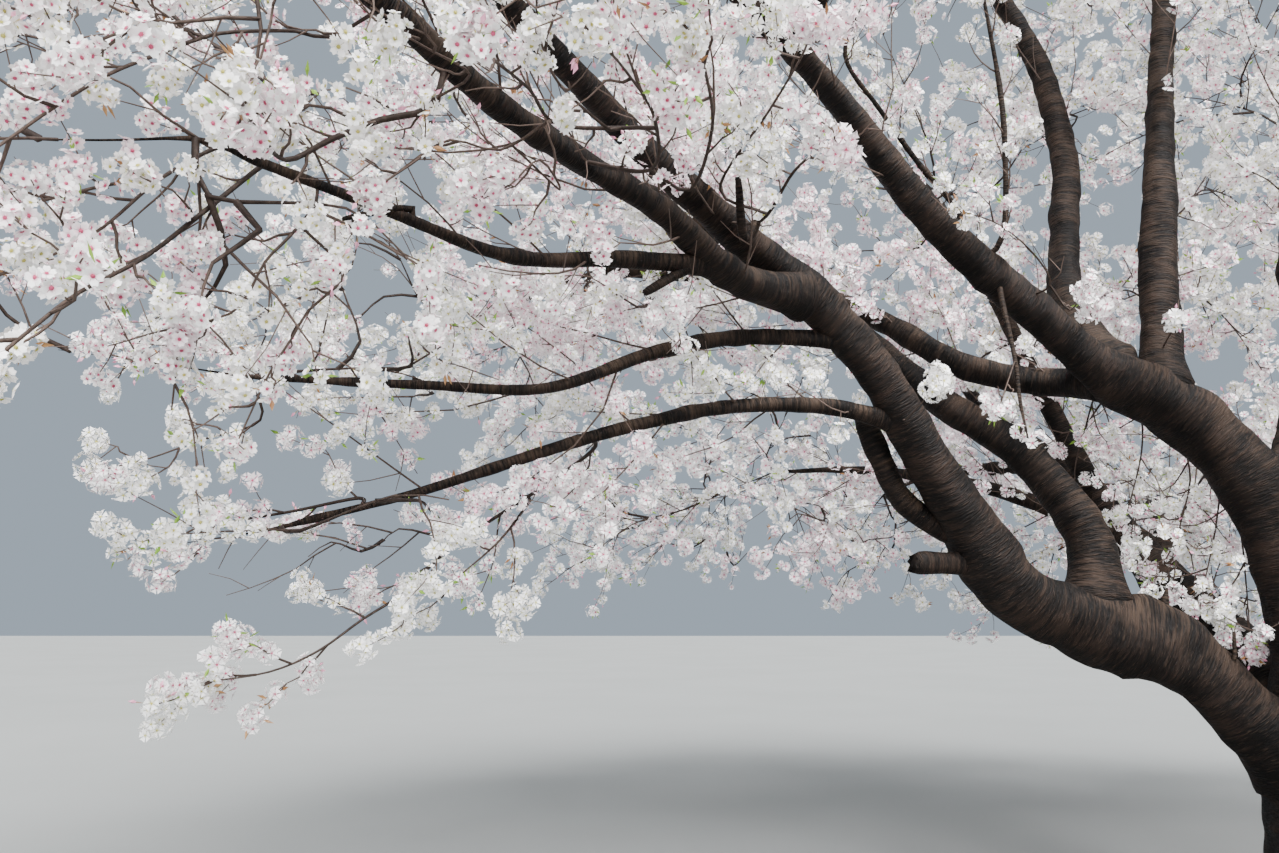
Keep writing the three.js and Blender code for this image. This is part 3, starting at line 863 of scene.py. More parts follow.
class Finishes:
    """Every material of the tree, made once."""

    def __init__(self) -> None:
        """Makes the materials."""
        self.bark = BarkFinish().material()
        self.twig = TwigFinish().material()
        white, cream = (0.985, 0.97, 0.96), (0.95, 0.925, 0.9)
        pink = (0.95, 0.88, 0.88)
        petals = {
            Flower.WHITE_GREEN: PetalFinish("white_petals_green_base", white, cream, (0.72, 0.72, 0.42)),
            Flower.WHITE_CRIMSON: PetalFinish("white_petals_pink_base", white, pink, (0.8, 0.36, 0.48)),
            Flower.BLUSH: PetalFinish(
                "blush_petals", (0.965, 0.89, 0.905), (0.93, 0.78, 0.82), (0.78, 0.3, 0.43)
            ),
        }
        crimson = PlainFinish("crimson_hearts", (0.5, 0.06, 0.15), (0.3, 0.02, 0.06), 60.0).material()
        green = PlainFinish("green_hearts", (0.5, 0.44, 0.1), (0.3, 0.28, 0.05), 60.0).material()
        self.stalk = PlainFinish("stalks", (0.32, 0.27, 0.11), (0.3, 0.13, 0.09), 20.0).material()
        hearts = {Flower.WHITE_GREEN: green, Flower.WHITE_CRIMSON: crimson, Flower.BLUSH: crimson}
        self.flowers = {kind: (petals[kind].material(), hearts[kind]) for kind in Flower}
        self.extras = {
            kind: PlainFinish(kind.value, colour, shade, scale, roughness).material()
            for kind, colour, shade, scale, roughness in (
                (Extra.GREEN_LEAF, (0.26, 0.44, 0.04), (0.15, 0.3, 0.02), 25.0, 0.45),
                (Extra.BRONZE_LEAF, (0.38, 0.2, 0.07), (0.26, 0.11, 0.04), 25.0, 0.45),
                (Extra.BUD, (0.85, 0.42, 0.55), (0.72, 0.24, 0.38), 50.0, 0.5),
            )
        }


def mesh_object(
    name: str,
    points: Array,
    faces: Iterable[Sequence[int]] = (),
    edges: Iterable[Sequence[int]] = (),
    smooth: bool = False,
) -> Piece:
    """A mesh object at the origin.

    Args:
        name: The object's name.
        points: Its vertices.
        faces: The corners of each face.
        edges: The ends of each loose edge.
        smooth: Whether its faces are shaded smooth.

    Returns:
        The object, linked to the scene.
    """
    mesh = bpy.data.meshes.new(name)
    mesh.from_pydata(points, edges, faces)
    if smooth:
        mesh.shade_smooth()
    made = bpy.data.objects.new(name, mesh)
    bpy.context.scene.collection.objects.link(made)
    return made


def give_points(mesh: bpy.types.Mesh, name: str, kind: str, values: Array) -> None:
    """Gives each point of a mesh a value of this name and kind."""
    key = "vector" if kind == "FLOAT_VECTOR" else "value"
    mesh.attributes.new(name, kind, "POINT").data.foreach_set(key, values.astype(np.float32).ravel())


def bark_places(radii: Array, turns: Array, lengths: Array, shift: float = 0.0) -> Array:
    """Each vertex's place on the bark, as if its limb were straight.

    Args:
        radii: The limb's radius at each ring.
        turns: The turn of each point of a ring.
        lengths: How far along the limb each ring is.
        shift: A shift across, so that no two limbs look alike.

    Returns:
        One place for each vertex.
    """
    wide = radii[:, None]
    parts = wide * np.cos(turns) + shift, wide * np.sin(turns), lengths[:, None] + 0 * turns
    return np.stack(np.broadcast_arrays(*parts), axis=-1).reshape(-1, 3)


def settle(piece: Piece, nodes: Iterable[str]) -> Piece:
    """Says what a finished piece rides on and the nodes that it stands for."""
    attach(piece, "root")
    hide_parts(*nodes)
    log.info("%s: %d faces", piece.name, len(piece.data.polygons))
    return piece


def tube_faces(rings: int, sides: int, first: int = 0) -> list[tuple[int, ...]]:
    """The faces of a tube of rings, closed at both ends.

    Args:
        rings: How many rings it has.
        sides: How many points each ring has.
        first: The number of its first point.

    Returns:
        The faces, which look outwards.
    """
    faces: list[tuple[int, ...]] = []
    for i in range(rings - 1):
        low = first + i * sides
        for k in range(sides):
            right = (k + 1) % sides
            faces.append((low + k, low + right, low + sides + right, low + sides + k))
    last = first + (rings - 1) * sides
    faces.append(tuple(first + k for k in reversed(range(sides))))
    faces.append(tuple(last + k for k in range(sides)))
    return faces


def frames_along(line: Array) -> tuple[Array, Array]:
    """Two directions square to a line at each of its points, carried along without a twist."""
    ahead = unit(np.gradient(line, axis=0))
    across = np.empty_like(line)
    across[0] = square_to(ahead[0])
    for i in range(1, len(line)):
        across[i] = unit(across[i - 1] - ahead[i] * (across[i - 1] @ ahead[i]))
    return across, np.cross(ahead, across)


@dataclass
class BarkTube:
    """A limb's skin with the relief of its bark.

    Attributes:
        line: The smooth line that it follows.
        radii: Its radius at each point.
        sides: How many points each ring has.
        seed: The number that makes its lumps its own.
        lump: How uneven it is, as a share of its radius.
        ring_ridge: How high the ridges round it are, in metres.
        knobs_per_metre: How many old knots it has.
        broken: Whether its end is ragged.
        burrs: The burrs on it.
        top_light_and_pale_share: How much painted top light and fine-bark paleness it takes, as a share.
        fine_radius: The radius under which bark is paler all round, in metres.
    """

    line: Array
    radii: Array
    sides: int
    seed: int
    lump: float = 0.055
    ring_ridge: float = 0.0022
    knobs_per_metre: float = 2.6
    broken: bool = False
    burrs: Sequence[Burr] = ()
    top_light_and_pale_share: float = 1.0
    fine_radius: float = 0.1

    KNOB_DRAW = 500
    KNOBS_FROM = 0.3
    # How the painted top light grows as the bark faces up
    TOP_LIGHT_SHARES = (0.9, 0.1)
    RAGGED = (-0.35, 0.5)
    END_SHARES = (0.8, 0.2)
    SWELLS = ((1.0, 2, 3.1), (0.7, 3, -5.3), (0.6, 1, 9.7), (0.35, 5, 17.0))
    RING_GAPS = (0.19, 0.13)
    RIDGE_SHARE = 0.03
    KNOB_SIZES = (0.035, 0.075)
    KNOB_HEIGHTS = (0.1, 0.24)
    KNOB_THICKEST = 0.09

    def relief(self, turns: Array, lengths: Array) -> Array:
        """How far the bark stands out, in metres, for each ring and turn."""
        shift = np.random.default_rng(self.seed).uniform(0, 2 * math.pi, 6)
        s, t = lengths[:, None], turns[None, :]
        swell = sum(
            height * np.sin(lobes * t + waves * s + start)
            for (height, lobes, waves), start in zip(self.SWELLS, shift)
        )
        wide, close = (2 * math.pi * s / gap for gap in self.RING_GAPS)
        ridges = np.sin(wide + 0.3 * np.sin(t + shift[4]) + 2.2 * np.sin(2.3 * s))
        ridges += 0.6 * np.sin(close + 0.4 * np.sin(2 * t + shift[5]))
        thick = self.radii[:, None]
        ridge = np.minimum(self.ring_ridge, thick * self.RIDGE_SHARE)
        return thick * self.lump * swell + ridge * ridges + self.knobs(s, t)

    def knobs(self, s: Array, t: Array) -> Array:
        """Round swellings where old twigs came off, in metres.

        Args:
            s: The length along the limb at each ring.
            t: The turn of each point of a ring.

        Returns:
            How far each point stands out for them.
        """
        draw = np.random.default_rng(self.seed + self.KNOB_DRAW)
        thick = float(self.radii[0])
        out = np.zeros((len(s), t.shape[1]))
        length = float(s[-1, 0])
        for _ in range(int(length * self.knobs_per_metre)):
            middle, turn = draw.uniform(self.KNOBS_FROM, length), draw.uniform(0, 2 * math.pi)
            size = draw.uniform(*self.KNOB_SIZES)
            height = draw.uniform(*self.KNOB_HEIGHTS) * min(thick, self.KNOB_THICKEST)
            round_it = (np.cos(t - turn) - 1) * (self.radii[:, None] / size) ** 2
            out += height * np.exp(round_it - ((s - middle) / size) ** 2)
        return out * np.minimum(self.radii[:, None] / thick, 1)

    def build(self) -> tuple[Array, list[tuple[int, ...]], Array, Array]:
        """The tube's points and faces, and for each point its place on the bark and its share of painted top
        light and paleness.
        """
        lengths = arc_lengths(self.line)
        turns = np.arange(self.sides) * 2 * math.pi / self.sides
        across, over = frames_along(self.line)
        out = across[:, None] * np.cos(turns)[:, None] + over[:, None] * np.sin(turns)[:, None]
        reach = self.radii[:, None] + self.relief(turns, lengths)
        for burr in self.burrs:
            near = np.exp(-(((lengths - burr.at) / burr.size) ** 2))[:, None]
            facing = (out @ unit(np.array(burr.way)) - 1) * ((self.radii / burr.size) ** 2)[:, None]
            reach += burr.height * near * np.exp(facing)
        points = self.line[:, None] + out * reach[..., None]
        if self.broken:
            ragged = np.random.default_rng(self.seed).uniform(*self.RAGGED, self.sides)
            points[-1] += unit(self.line[-1] - self.line[-2]) * (ragged * self.radii[-1])[:, None]
            points[-1] = points[-1] * self.END_SHARES[0] + self.line[-1] * self.END_SHARES[1]
        thin = np.clip(1 - self.radii / self.fine_radius, 0, 1)[:, None]
        # Painted top light: bark that faces up gets paler, and fine bark is paler all round
        upward = out[..., 2] * self.TOP_LIGHT_SHARES[0] + self.TOP_LIGHT_SHARES[1]
        top_light_and_pale = np.clip(upward + thin, 0, 1) * self.top_light_and_pale_share
        faces = tube_faces(len(self.line), self.sides)
        place = bark_places(self.radii, turns, lengths, self.seed)
        return points.reshape(-1, 3), faces, place, top_light_and_pale.reshape(-1)


@dataclass
class Limb:
    """A bough: its plan's line made smooth, with its radii.

    Attributes:
        plan: How it grows.
        start: Where it starts, on its carrier's axis.
        carrier_radius: How thick its carrier is there.
        seed: The number that makes its bark its own.
        step: About how far apart the rings of its bark are, in metres.
        points: Its line as in the source.
        line: The same made smooth.
        leader: The stem of its mass, in which it ends.
    """

    plan: LimbPlan
    start: Array
    carrier_radius: float
    seed: int
    step: float
    points: Array = field(init=False)
    line: Array = field(init=False)
    leader: Array | None = None

    RING_SIDES = ((0.14, 26), (0.07, 20), (0.0, 12))
    LEADER_TAPER = (1.0, 0.32, 0.18, 0.12, 0.08)
    LEADER_STEP = 0.06
    FINE_TIP = 30.0
    FINE_TIP_LOSS = 0.42
    INSIDE_CARRIER = 0.95
    FOOT_FLARE = 0.5
    CROTCH_SWELL = 0.2
    CROTCH_SPREAD = 1.5

    def __post_init__(self) -> None:
        """Works out the limb's line."""
        plan = self.plan
        self.points = line_of(self.start, plan.length, plan.headings, plan.climbs, RING_STEP)
        self.line = smoothed(self.points, self.step)

    def radius(self, share: float | Array) -> float | Array:
        """The radius at a share of its length."""
        return along(self.plan.radii, share) * MM

    def at(self, share: float | Array) -> Array:
        """The point at a share of the source's line, or one for each share."""
        return at_length(self.points, share * arc_lengths(self.points)[-1])

    def radii_along(self, feet: Sequence[Pair]) -> Array:
        """Radii along the smooth line, wider at its own foot and where other limbs leave it.

        Args:
            feet: The share and the radius of each limb that leaves this one.

        Returns:
            One radius for each point of the line.
        """
        lengths = arc_lengths(self.line)
        radii = self.radius(lengths / lengths[-1])
        if self.plan.radii[-1] < self.FINE_TIP:
            radii *= 1 - self.FINE_TIP_LOSS * (lengths / lengths[-1]) ** 2
        surface = self.carrier_radius * self.INSIDE_CARRIER
        flare = np.minimum(lengths / surface, 1) ** 2 * np.exp(-np.maximum(lengths - surface, 0) / radii[0])
        radii = radii * (1 + self.FOOT_FLARE * flare)
        for share, foot in feet:
            away = (lengths - share * lengths[-1]) / (self.CROTCH_SPREAD * foot)
            radii = radii + self.CROTCH_SWELL * foot * np.exp(-(away**2))
        return radii

    def tube(self, feet: Sequence[Pair]) -> BarkTube:
        """The limb's skin."""
        thick = self.plan.radii[0] * MM
        sides = next(count for least, count in self.RING_SIDES if thick > least)
        line, radii = self.line, self.radii_along(feet)
        if self.leader is not None:
            length = arc_lengths(self.leader)[-1]
            places = np.arange(self.LEADER_STEP, length, self.LEADER_STEP)
            line = np.vstack([line, at_length(self.leader, places)])
            radii = np.concatenate([radii, radii[-1] * along(self.LEADER_TAPER, places / length)])
        burrs = [burr for burr in BURRS if burr.on == self.plan.name]
        return BarkTube(line, radii, sides, self.seed, burrs=burrs)


@dataclass
class Trunk:
    """The short trunk with its flare, flat cut at the ground, and its fork.

    Attributes:
        fork_height: How high it ends.
        lean: How far its top lies along +X.
        lobes: How many roots its foot flares into.
        lobe_turn: How far round they are turned, in radians.
        sides: How many points each ring of its bark has.
        ring_step: How far apart the rings are.
        flat: The height up to which the bark's relief is held back, for a clean cut.
        pale_foot: The height up to which its foot is paler.
        seed: The number that makes its bark its own.
        lump: How uneven its bark is, as a share of its radius.
        heights: The heights of the values below.
        radii: Its radii there.
        lobe: How far the roots stand out there.
    """

    fork_height: float = 1.04
    lean: float = -0.07
    lobes: int = 5
    lobe_turn: float = 0.9
    sides: int = 64
    ring_step: float = 0.03
    flat: float = 0.06
    pale_foot: float = 0.3
    seed: int = 3
    lump: float = 0.018
    heights: tuple[float, ...] = (0, 0.07, 0.18, 0.34, 0.56, 0.78, 0.93, 1.04)
    radii: tuple[float, ...] = (0.48, 0.415, 0.362, 0.322, 0.3, 0.285, 0.225, 0.105)
    lobe: tuple[float, ...] = (0.095, 0.075, 0.048, 0.026, 0.012, 0.006, 0.003, 0)

    def at(self, share: float) -> Array:
        """The point at a share of the trunk's axis."""
        return np.array([self.lean * share, 0.0, self.fork_height * share])

    def piece(self, finish: Material) -> Piece:
        """The trunk's mesh with its relief."""
        levels = np.linspace(0, self.fork_height, round(self.fork_height / self.ring_step) + 1)
        radii = np.interp(levels, self.heights, self.radii)
        lobe = np.interp(levels, self.heights, self.lobe)
        line = np.stack([self.lean * levels / self.fork_height, 0 * levels, levels], axis=-1)
        turns = np.arange(self.sides) * 2 * math.pi / self.sides
        skin = BarkTube(line, radii, self.sides, self.seed, lump=self.lump)
        fade = np.minimum(levels / self.flat, 1)[:, None]
        fluted = lobe[:, None] * np.cos(self.lobes * turns + self.lobe_turn)
        reach = radii[:, None] + fluted + fade * skin.relief(turns, levels)
        out = np.stack([np.cos(turns), np.sin(turns), 0 * turns], axis=-1)
        points = line[:, None] + out * reach[..., None]
        # No painted top light on the trunk, only a paler foot
        top_light_and_pale = np.repeat(np.clip(1 - levels / self.pale_foot, 0, 1) * 0.5, self.sides)
        faces = tube_faces(len(levels), self.sides)
        piece = mesh_object("trunk_bark", points.reshape(-1, 3), faces, smooth=True)
        return dressed_in_bark(piece, bark_places(radii, turns, levels), top_light_and_pale, finish)


def dressed_in_bark(piece: Piece, place: Array, top_light_and_pale: Array, finish: Material) -> Piece:
    """Gives a limb's mesh its bark.

    Args:
        piece: The limb.
        place: Each vertex's place on the bark.
        top_light_and_pale: How much painted top light and paleness each vertex takes.
        finish: The bark.

    Returns:
        The same limb.
    """
    give_points(piece.data, "bark_place", "FLOAT_VECTOR", place)
    give_points(piece.data, "sky_side", "FLOAT", top_light_and_pale)
    piece.data.materials.append(finish)
    return piece


class Framework:
    """The trunk and every bough, where the frame has them."""

    EASE = 0.12
    LOWEST = 0.6
    BARE_MARGIN = 0.04
    BARE_SAMPLES = 60
    NEAR_STEP = 0.036
    SIDE_STEP = 0.06
    TRUNK_SAMPLES = 12
    TRUNK_ROOM = 0.32
    TRUNK_RADIUS = 0.28
    STUB_STEP = 0.03
    STUB_SIDES = 14
    SHOOT_SIDES = 8
    STUB_FLARE = 0.25
    STUB_FADE = 9
    STUB_LUMP = 0.06
    SHOOT_LUMP = 0.07
    # How much painted top light and paleness the dark stubs take
    DARK_STUB_TOP_LIGHT = 0.25
    STUB_DRAW = 71
    SHOOT_DRAW = 91

    def __init__(self) -> None:
        """Grows the limbs' lines in the source's order."""
        self.trunk = Trunk()
        self.limbs: dict[str, Limb] = {}
        plans = [*LEFT_BOUGHS, *(plan for side in SIDES for plan in side.boughs())]
        for seed, plan in enumerate(plans):
            step = self.NEAR_STEP if seed < len(LEFT_BOUGHS) else self.SIDE_STEP
            self.limbs[plan.name] = Limb(plan, self.foot(plan), self.carrier_radius(plan), seed + 11, step)
        samples = [(limb.line[::3], limb.radii_along([])[::3]) for limb in self.limbs.values()]
        trunk_line = np.array([self.trunk.at(share) for share in np.linspace(0, 1, self.TRUNK_SAMPLES)])
        samples.append((trunk_line, np.full(self.TRUNK_SAMPLES, self.TRUNK_ROOM)))
        self.wood = np.vstack([line for line, _ in samples])
        self.wood_radii = np.concatenate([radii for _, radii in samples])
        self.view = PhotoView()

    def foot(self, plan: LimbPlan) -> Array:
        """Where a limb starts, on its carrier's axis."""
        carrier = self.trunk if plan.carrier == "trunk" else self.limbs[plan.carrier]
        return carrier.at(plan.at)

    def carrier_radius(self, plan: LimbPlan) -> float:
        """How thick a limb's carrier is where the limb leaves it."""
        if plan.carrier == "trunk":
            return self.TRUNK_RADIUS
        return float(self.limbs[plan.carrier].radius(plan.at))

    def within(self, points: Array) -> bool:
        """Whether points keep inside the frame's box, with room left for the flowers on them."""
        low, high = (np.array(corner) for corner in CAD_BOUNDS)
        inside = (points > low - self.EASE).all() and (points < high + self.EASE).all()
        return bool(inside and points[:, 2].min() > self.LOWEST)

    def room(self, points: Array) -> Array:
        """How far each point is from the nearest wood."""
        gaps = np.linalg.norm(points[:, None] - self.wood[None], axis=2) - self.wood_radii
        return gaps.min(axis=1)

    def clear(self, points: Array, room: float) -> bool:
        """Whether points keep this much room from all wood."""
        return bool((self.room(points) > room).all())

    def hides_limb(self, points: Array) -> Array:
        """Whether a bunch at each point would hide a stretch of limb that the photograph shows bare."""
        x, y, far = self.view.seen(points)
        focal = self.view.axes()[2]
        hides = np.zeros(len(points), bool)
        for name, start, end in BARE_STRETCHES:
            limb = self.limbs[name]
            shares = np.linspace(start, end, self.BARE_SAMPLES)
            limb_x, limb_y, limb_far = self.view.seen(limb.at(shares))
            room = limb.radius(shares) * focal / above_zero(limb_far)
            near = np.hypot(x[:, None] - limb_x, y[:, None] - limb_y)
            near -= room + (self.BARE_MARGIN * focal / above_zero(far))[:, None]
            in_front = (far[:, None] > self.view.nearest) & (far[:, None] < limb_far)
            hides |= ((near < 0) & in_front).any(axis=1)
        return hides

    def stub(self, carrier: Limb, plan: LimbPlan, seed: int) -> BarkTube:
        """The skin of a dead or cut stub."""
        points = line_of(carrier.at(plan.at), plan.length, plan.headings, plan.climbs, STUB_RING_STEP)
        line = smoothed(points, self.STUB_STEP)
        shares = np.linspace(0, 1, len(line))
        radii = along(plan.radii, shares) * MM * (1 + self.STUB_FLARE * np.exp(-shares * self.STUB_FADE))
        stub_top_light = self.DARK_STUB_TOP_LIGHT if plan.name in DARK_STUBS else 1.0
        draw, lump = self.STUB_DRAW + seed, self.STUB_LUMP
        return BarkTube(line, radii, self.STUB_SIDES, draw, lump=lump, broken=True, top_light_and_pale_share=stub_top_light)

    def skins(self, limb: Limb, growths: Sequence["Growth"]) -> list[BarkTube]:
        """The skins of a bough, of its stubs and of the thick shoots among what grows on the boughs."""
        name = limb.plan.name
        others = (*(other.plan for other in self.limbs.values()), *STUBS)
        feet = [(other.at, other.radii[0] * MM) for other in others if other.carrier == name]
        stubs = [plan for plan in STUBS if plan.carrier == name]
        shoots = [twig for growth in growths if growth.limb is limb for twig in growth.twigs if twig.barked]
        return [
            limb.tube(feet),
            *(self.stub(limb, plan, seed) for seed, plan in enumerate(stubs)),
            *(
                BarkTube(twig.line, twig.radii, self.SHOOT_SIDES, draw, lump=self.SHOOT_LUMP, broken=True)
                for draw, twig in enumerate(shoots, self.SHOOT_DRAW)
            ),
        ]

    def build(self, finish: Material, growths: Sequence["Growth"]) -> None:
        """Makes a piece of bark for the trunk and for each bough with its stubs and thick shoots.

        Args:
            finish: The bark.
            growths: What grows on the boughs.
        """
        settle(self.trunk.piece(finish), ["trunk"])
        for name, limb in self.limbs.items():
            points, corners, place, top_light_and_pale = zip(*(tube.build() for tube in self.skins(limb, growths)))
            firsts = np.cumsum([0, *(len(part) for part in points)])
            faces = [
                tuple(corner + int(first) for corner in face)
                for first, part in zip(firsts, corners)
                for face in part
            ]
            piece = mesh_object(f"{name}_bark", np.vstack(points), faces, smooth=True)
            dressed_in_bark(piece, np.vstack(place), np.concatenate(top_light_and_pale), finish)
            settle(piece, [f"bough_{name}"])


@dataclass
class Twig:
    """A twig: its line, its radii, and whether it is thick enough for bark."""

    line: Array
    radii: Array
    barked: bool = False


@dataclass
class Bunches:
    """Places where flowers sit in bunches on twigs.

    Attributes:
        root: Where each bunch sits.
        ahead: The twig's direction there.
        spray: The number of the spray that it belongs to.
        crown: How many times more flowers it holds than a usual bunch.
    """

    root: list[Array] = field(default_factory=list)
    ahead: list[Array] = field(default_factory=list)
    spray: list[int] = field(default_factory=list)
    crown: list[float] = field(default_factory=list)

    def add(self, root: Array, ahead: Array, spray: int, crown: float) -> None:
        """Adds one bunch."""
        self.root.append(root)
        self.ahead.append(ahead)
        self.spray.append(spray)
        self.crown.append(crown)

    def keep(self, chosen: Array) -> None:
        """Keeps the chosen bunches alone."""
        for name in ("root", "ahead", "spray", "crown"):
            setattr(self, name, [item for item, kept in zip(getattr(self, name), chosen) if kept])


@dataclass(frozen=True)
class TwigRule:
    """How side twigs of one order grow, in metres.

    Attributes:
        radii: Their radii at foot and tip.
        stretches: How many straight stretches each has.
        wander: How far each of their points strays.
        room: How far they keep from wood.
        ease: How far they may leave their space.
        rooted: How many of their first points may be in wood.
        bunch_start: How far along them the first bunch may sit.
    """

    radii: Pair
    stretches: int
    wander: float
    room: float
    ease: float
    rooted: int
    bunch_start: float

    def twig(self, line: Array) -> Twig:
        """The twig along a line."""
        return Twig(line, along(self.radii, np.linspace(0, 1, len(line))))


@dataclass
class Growth:
    """Sprays of twigs that grow on a limb, or on a mass's twigs, by one rule.

    Attributes:
        limb: The bough that carries them.
        seed: The number that makes them their own.
        wood: All the limbs, which twigs and bunches keep clear of.
        lift: How far they turn up as they grow.
        twigs: The twigs so far.
        bunches: The bunches so far.
        sprays: How many sprays there are so far.
        draw: The random numbers.
    """

    limb: Limb
    seed: int
    wood: Framework
    lift: float = 0.08
    twigs: list[Twig] = field(default_factory=list)
    bunches: Bunches = field(default_factory=Bunches)
    sprays: int = 0
    draw: Draw = field(init=False)

    FIRST_DRAW = 0
    STEP = 0.17
    BUNCH_STEP = 0.13
    BUNCH_ROOM = 0.068
    BUNCH_SPREAD = (0.7, 1.3)
    MINDS_OPEN = True
    THIN_REFUSED = 0.75
    SPRAY = TwigRule((0.0055, 0.002), 5, 0.006, 0.02, 0.28, 2, 0.12)
    SPRAY_SPREAD = (0.7, 1.15)
    SPRAY_STEP_SPREAD = (0.8, 1.2)
    BUNCHES_FROM = 0.35
    TWIGLET = TwigRule((0.003, 0.0015), 2, 0.003, 0.01, 0.36, 1, 0.08)
    TWIGLET_LENGTHS = (0.12, 0.32)
    TWIGLET_STEPS = (0.13, 0.21)
    TWIGLETS_TO = 0.95
    ANGLE = 52.0
    ANGLE_SPREAD = (0.75, 1.1)
    OUTWARD = 0.1
    STRAY = 0.1
    TIP_CROWN = 1.7

    def __post_init__(self) -> None:
        """Starts the random numbers."""
        self.draw = np.random.default_rng(self.FIRST_DRAW + self.seed)

    def holds(self, points: Array, ease: float = 0.0) -> bool:
        """Whether points lie in this growth's space, which only a mass has bounds for."""
        return True

    def fits(self, line: Array, rule: TwigRule) -> bool:
        """Whether a twig keeps in its space and, past its root, off all wood."""
        inside = self.wood.within(line) and self.holds(line, rule.ease)
        return inside and self.wood.clear(line[rule.rooted :], rule.room)

    def add_spray(self, root: Array, ahead: Array, turn: float, length: float) -> None:
        """Adds a side twig with its twiglets and bunches, unless it leaves its space or meets wood.

        Args:
            root: Where it leaves.
            ahead: The direction of what carries it there.
            turn: Its turn about that direction, in radians.
            length: Its length.
        """
        rule = self.SPRAY
        made = self.side_twig(root, ahead, turn, length, rule)
        if not self.fits(made, rule):
            return
        if self.MINDS_OPEN and self.wood.view.shows_open(made[1:]):
            return
        thin = self.MINDS_OPEN and self.wood.view.lies_in(made[2:], self.wood.view.thin_places).any()
        if thin and self.draw.uniform() < self.THIN_REFUSED:
            return
        self.sprays += 1
        self.twigs.append(rule.twig(made))
        self.bunch_along(made, max(rule.bunch_start, length * self.BUNCHES_FROM))
        self.add_twiglets(made)

    def add_twiglets(self, line: Array) -> None:
        """Adds the finest twigs along a side twig, with their bunches."""
        rule = self.TWIGLET
        length = arc_lengths(line)[-1]
        place = self.TWIGLET_STEPS[0]
        turn = self.draw.uniform(0, 2 * math.pi)
        while place < length * self.TWIGLETS_TO:
            turn += math.radians(GOLDEN_ANGLE)
            root = at_length(line, place)
            ahead = unit(at_length(line, place + 0.01) - root)
            made = self.side_twig(root, ahead, turn, self.draw.uniform(*self.TWIGLET_LENGTHS), rule)
            if self.fits(made, rule):
                self.twigs.append(rule.twig(made))
                self.bunch_along(made, rule.bunch_start)
            place += self.draw.uniform(*self.TWIGLET_STEPS)

    def side_twig(self, root: Array, ahead: Array, turn: float, length: float, rule: TwigRule) -> Array:
        """A finer twig off another.

        Args:
            root: Where it leaves.
            ahead: The direction of what carries it there.
            turn: Its turn about that direction, in radians.
            length: Its length.
            rule: How twigs of its order grow.

        Returns:
            Its line.
        """
        angle = math.radians(self.ANGLE) * self.draw.uniform(*self.ANGLE_SPREAD)
        way = turned(square_to(ahead), ahead, turn) * math.sin(angle) + ahead * math.cos(angle)
        outward = unit(root - self.limb.points[0])
        line = [root]
        for _ in range(rule.stretches):
            way = unit(way + outward * self.OUTWARD + UP * self.lift + self.draw.normal(0, self.STRAY, 3))
            line.append(line[-1] + way * length / rule.stretches + self.draw.normal(0, rule.wander, 3))
        return np.array(line)

    def bunch_along(self, line: Array, start: float) -> None:
        """Adds bunches along a twig, with a full one at its tip, but none on wood.

        Args:
            line: The twig.
            start: How far along it the first one may sit.
        """
        length = arc_lengths(line)[-1]
        places = []
        place = start
        while place < length - self.BUNCH_STEP * 0.5:
            places.append(place)
            place += self.BUNCH_STEP * self.draw.uniform(*self.BUNCH_SPREAD)
        ends = np.array([*places, length])
        roots = at_length(line, ends)
        ahead = unit(at_length(line, ends - 0.005) - at_length(line, ends - 0.02))
        for root, way, room in zip(roots, ahead, self.wood.room(roots)):
            if room > self.BUNCH_ROOM:
                self.bunches.add(root, way, self.sprays, 1.0)
        if self.bunches.crown:
            self.bunches.crown[-1] = max(self.bunches.crown[-1], self.TIP_CROWN)

    def sprays_along(self, line: Array, start: float, sizes: Sequence[float]) -> None:
        """Adds sprays all along a line, each turned on from the last by the golden angle.

        Args:
            line: The limb or twig.
            start: How far along it they start.
            sizes: Their lengths from foot to tip of the line.
        """
        length = arc_lengths(line)[-1]
        turn = self.draw.uniform(0, 2 * math.pi)
        place = start
        while place < length:
            turn += math.radians(GOLDEN_ANGLE)
            root = at_length(line, place)
            ahead = unit(at_length(line, place + 0.01) - at_length(line, place - 0.01))
            size = along(sizes, place / length) * self.draw.uniform(*self.SPRAY_SPREAD)
            self.add_spray(root, ahead, turn, size)
            place += self.STEP * self.draw.uniform(*self.SPRAY_STEP_SPREAD)


@dataclass
class BoughSprays(Growth):
    """The sprays on a bough itself, from where it is thin enough to bear them."""

    FIRST_DRAW = 7300
    BARE_RADIUS = 0.075
    BARE_LENGTH = 0.3
    SIZES = (0.55, 0.95, 0.7)

    def grow(self) -> None:
        """Grows the sprays."""
        line = self.limb.line
        lengths = arc_lengths(line)
        radii = self.limb.radius(lengths / lengths[-1])
        start = max(float(lengths[np.argmax(radii < self.BARE_RADIUS)]), self.BARE_LENGTH)
        self.sprays_along(line, start, self.SIZES)


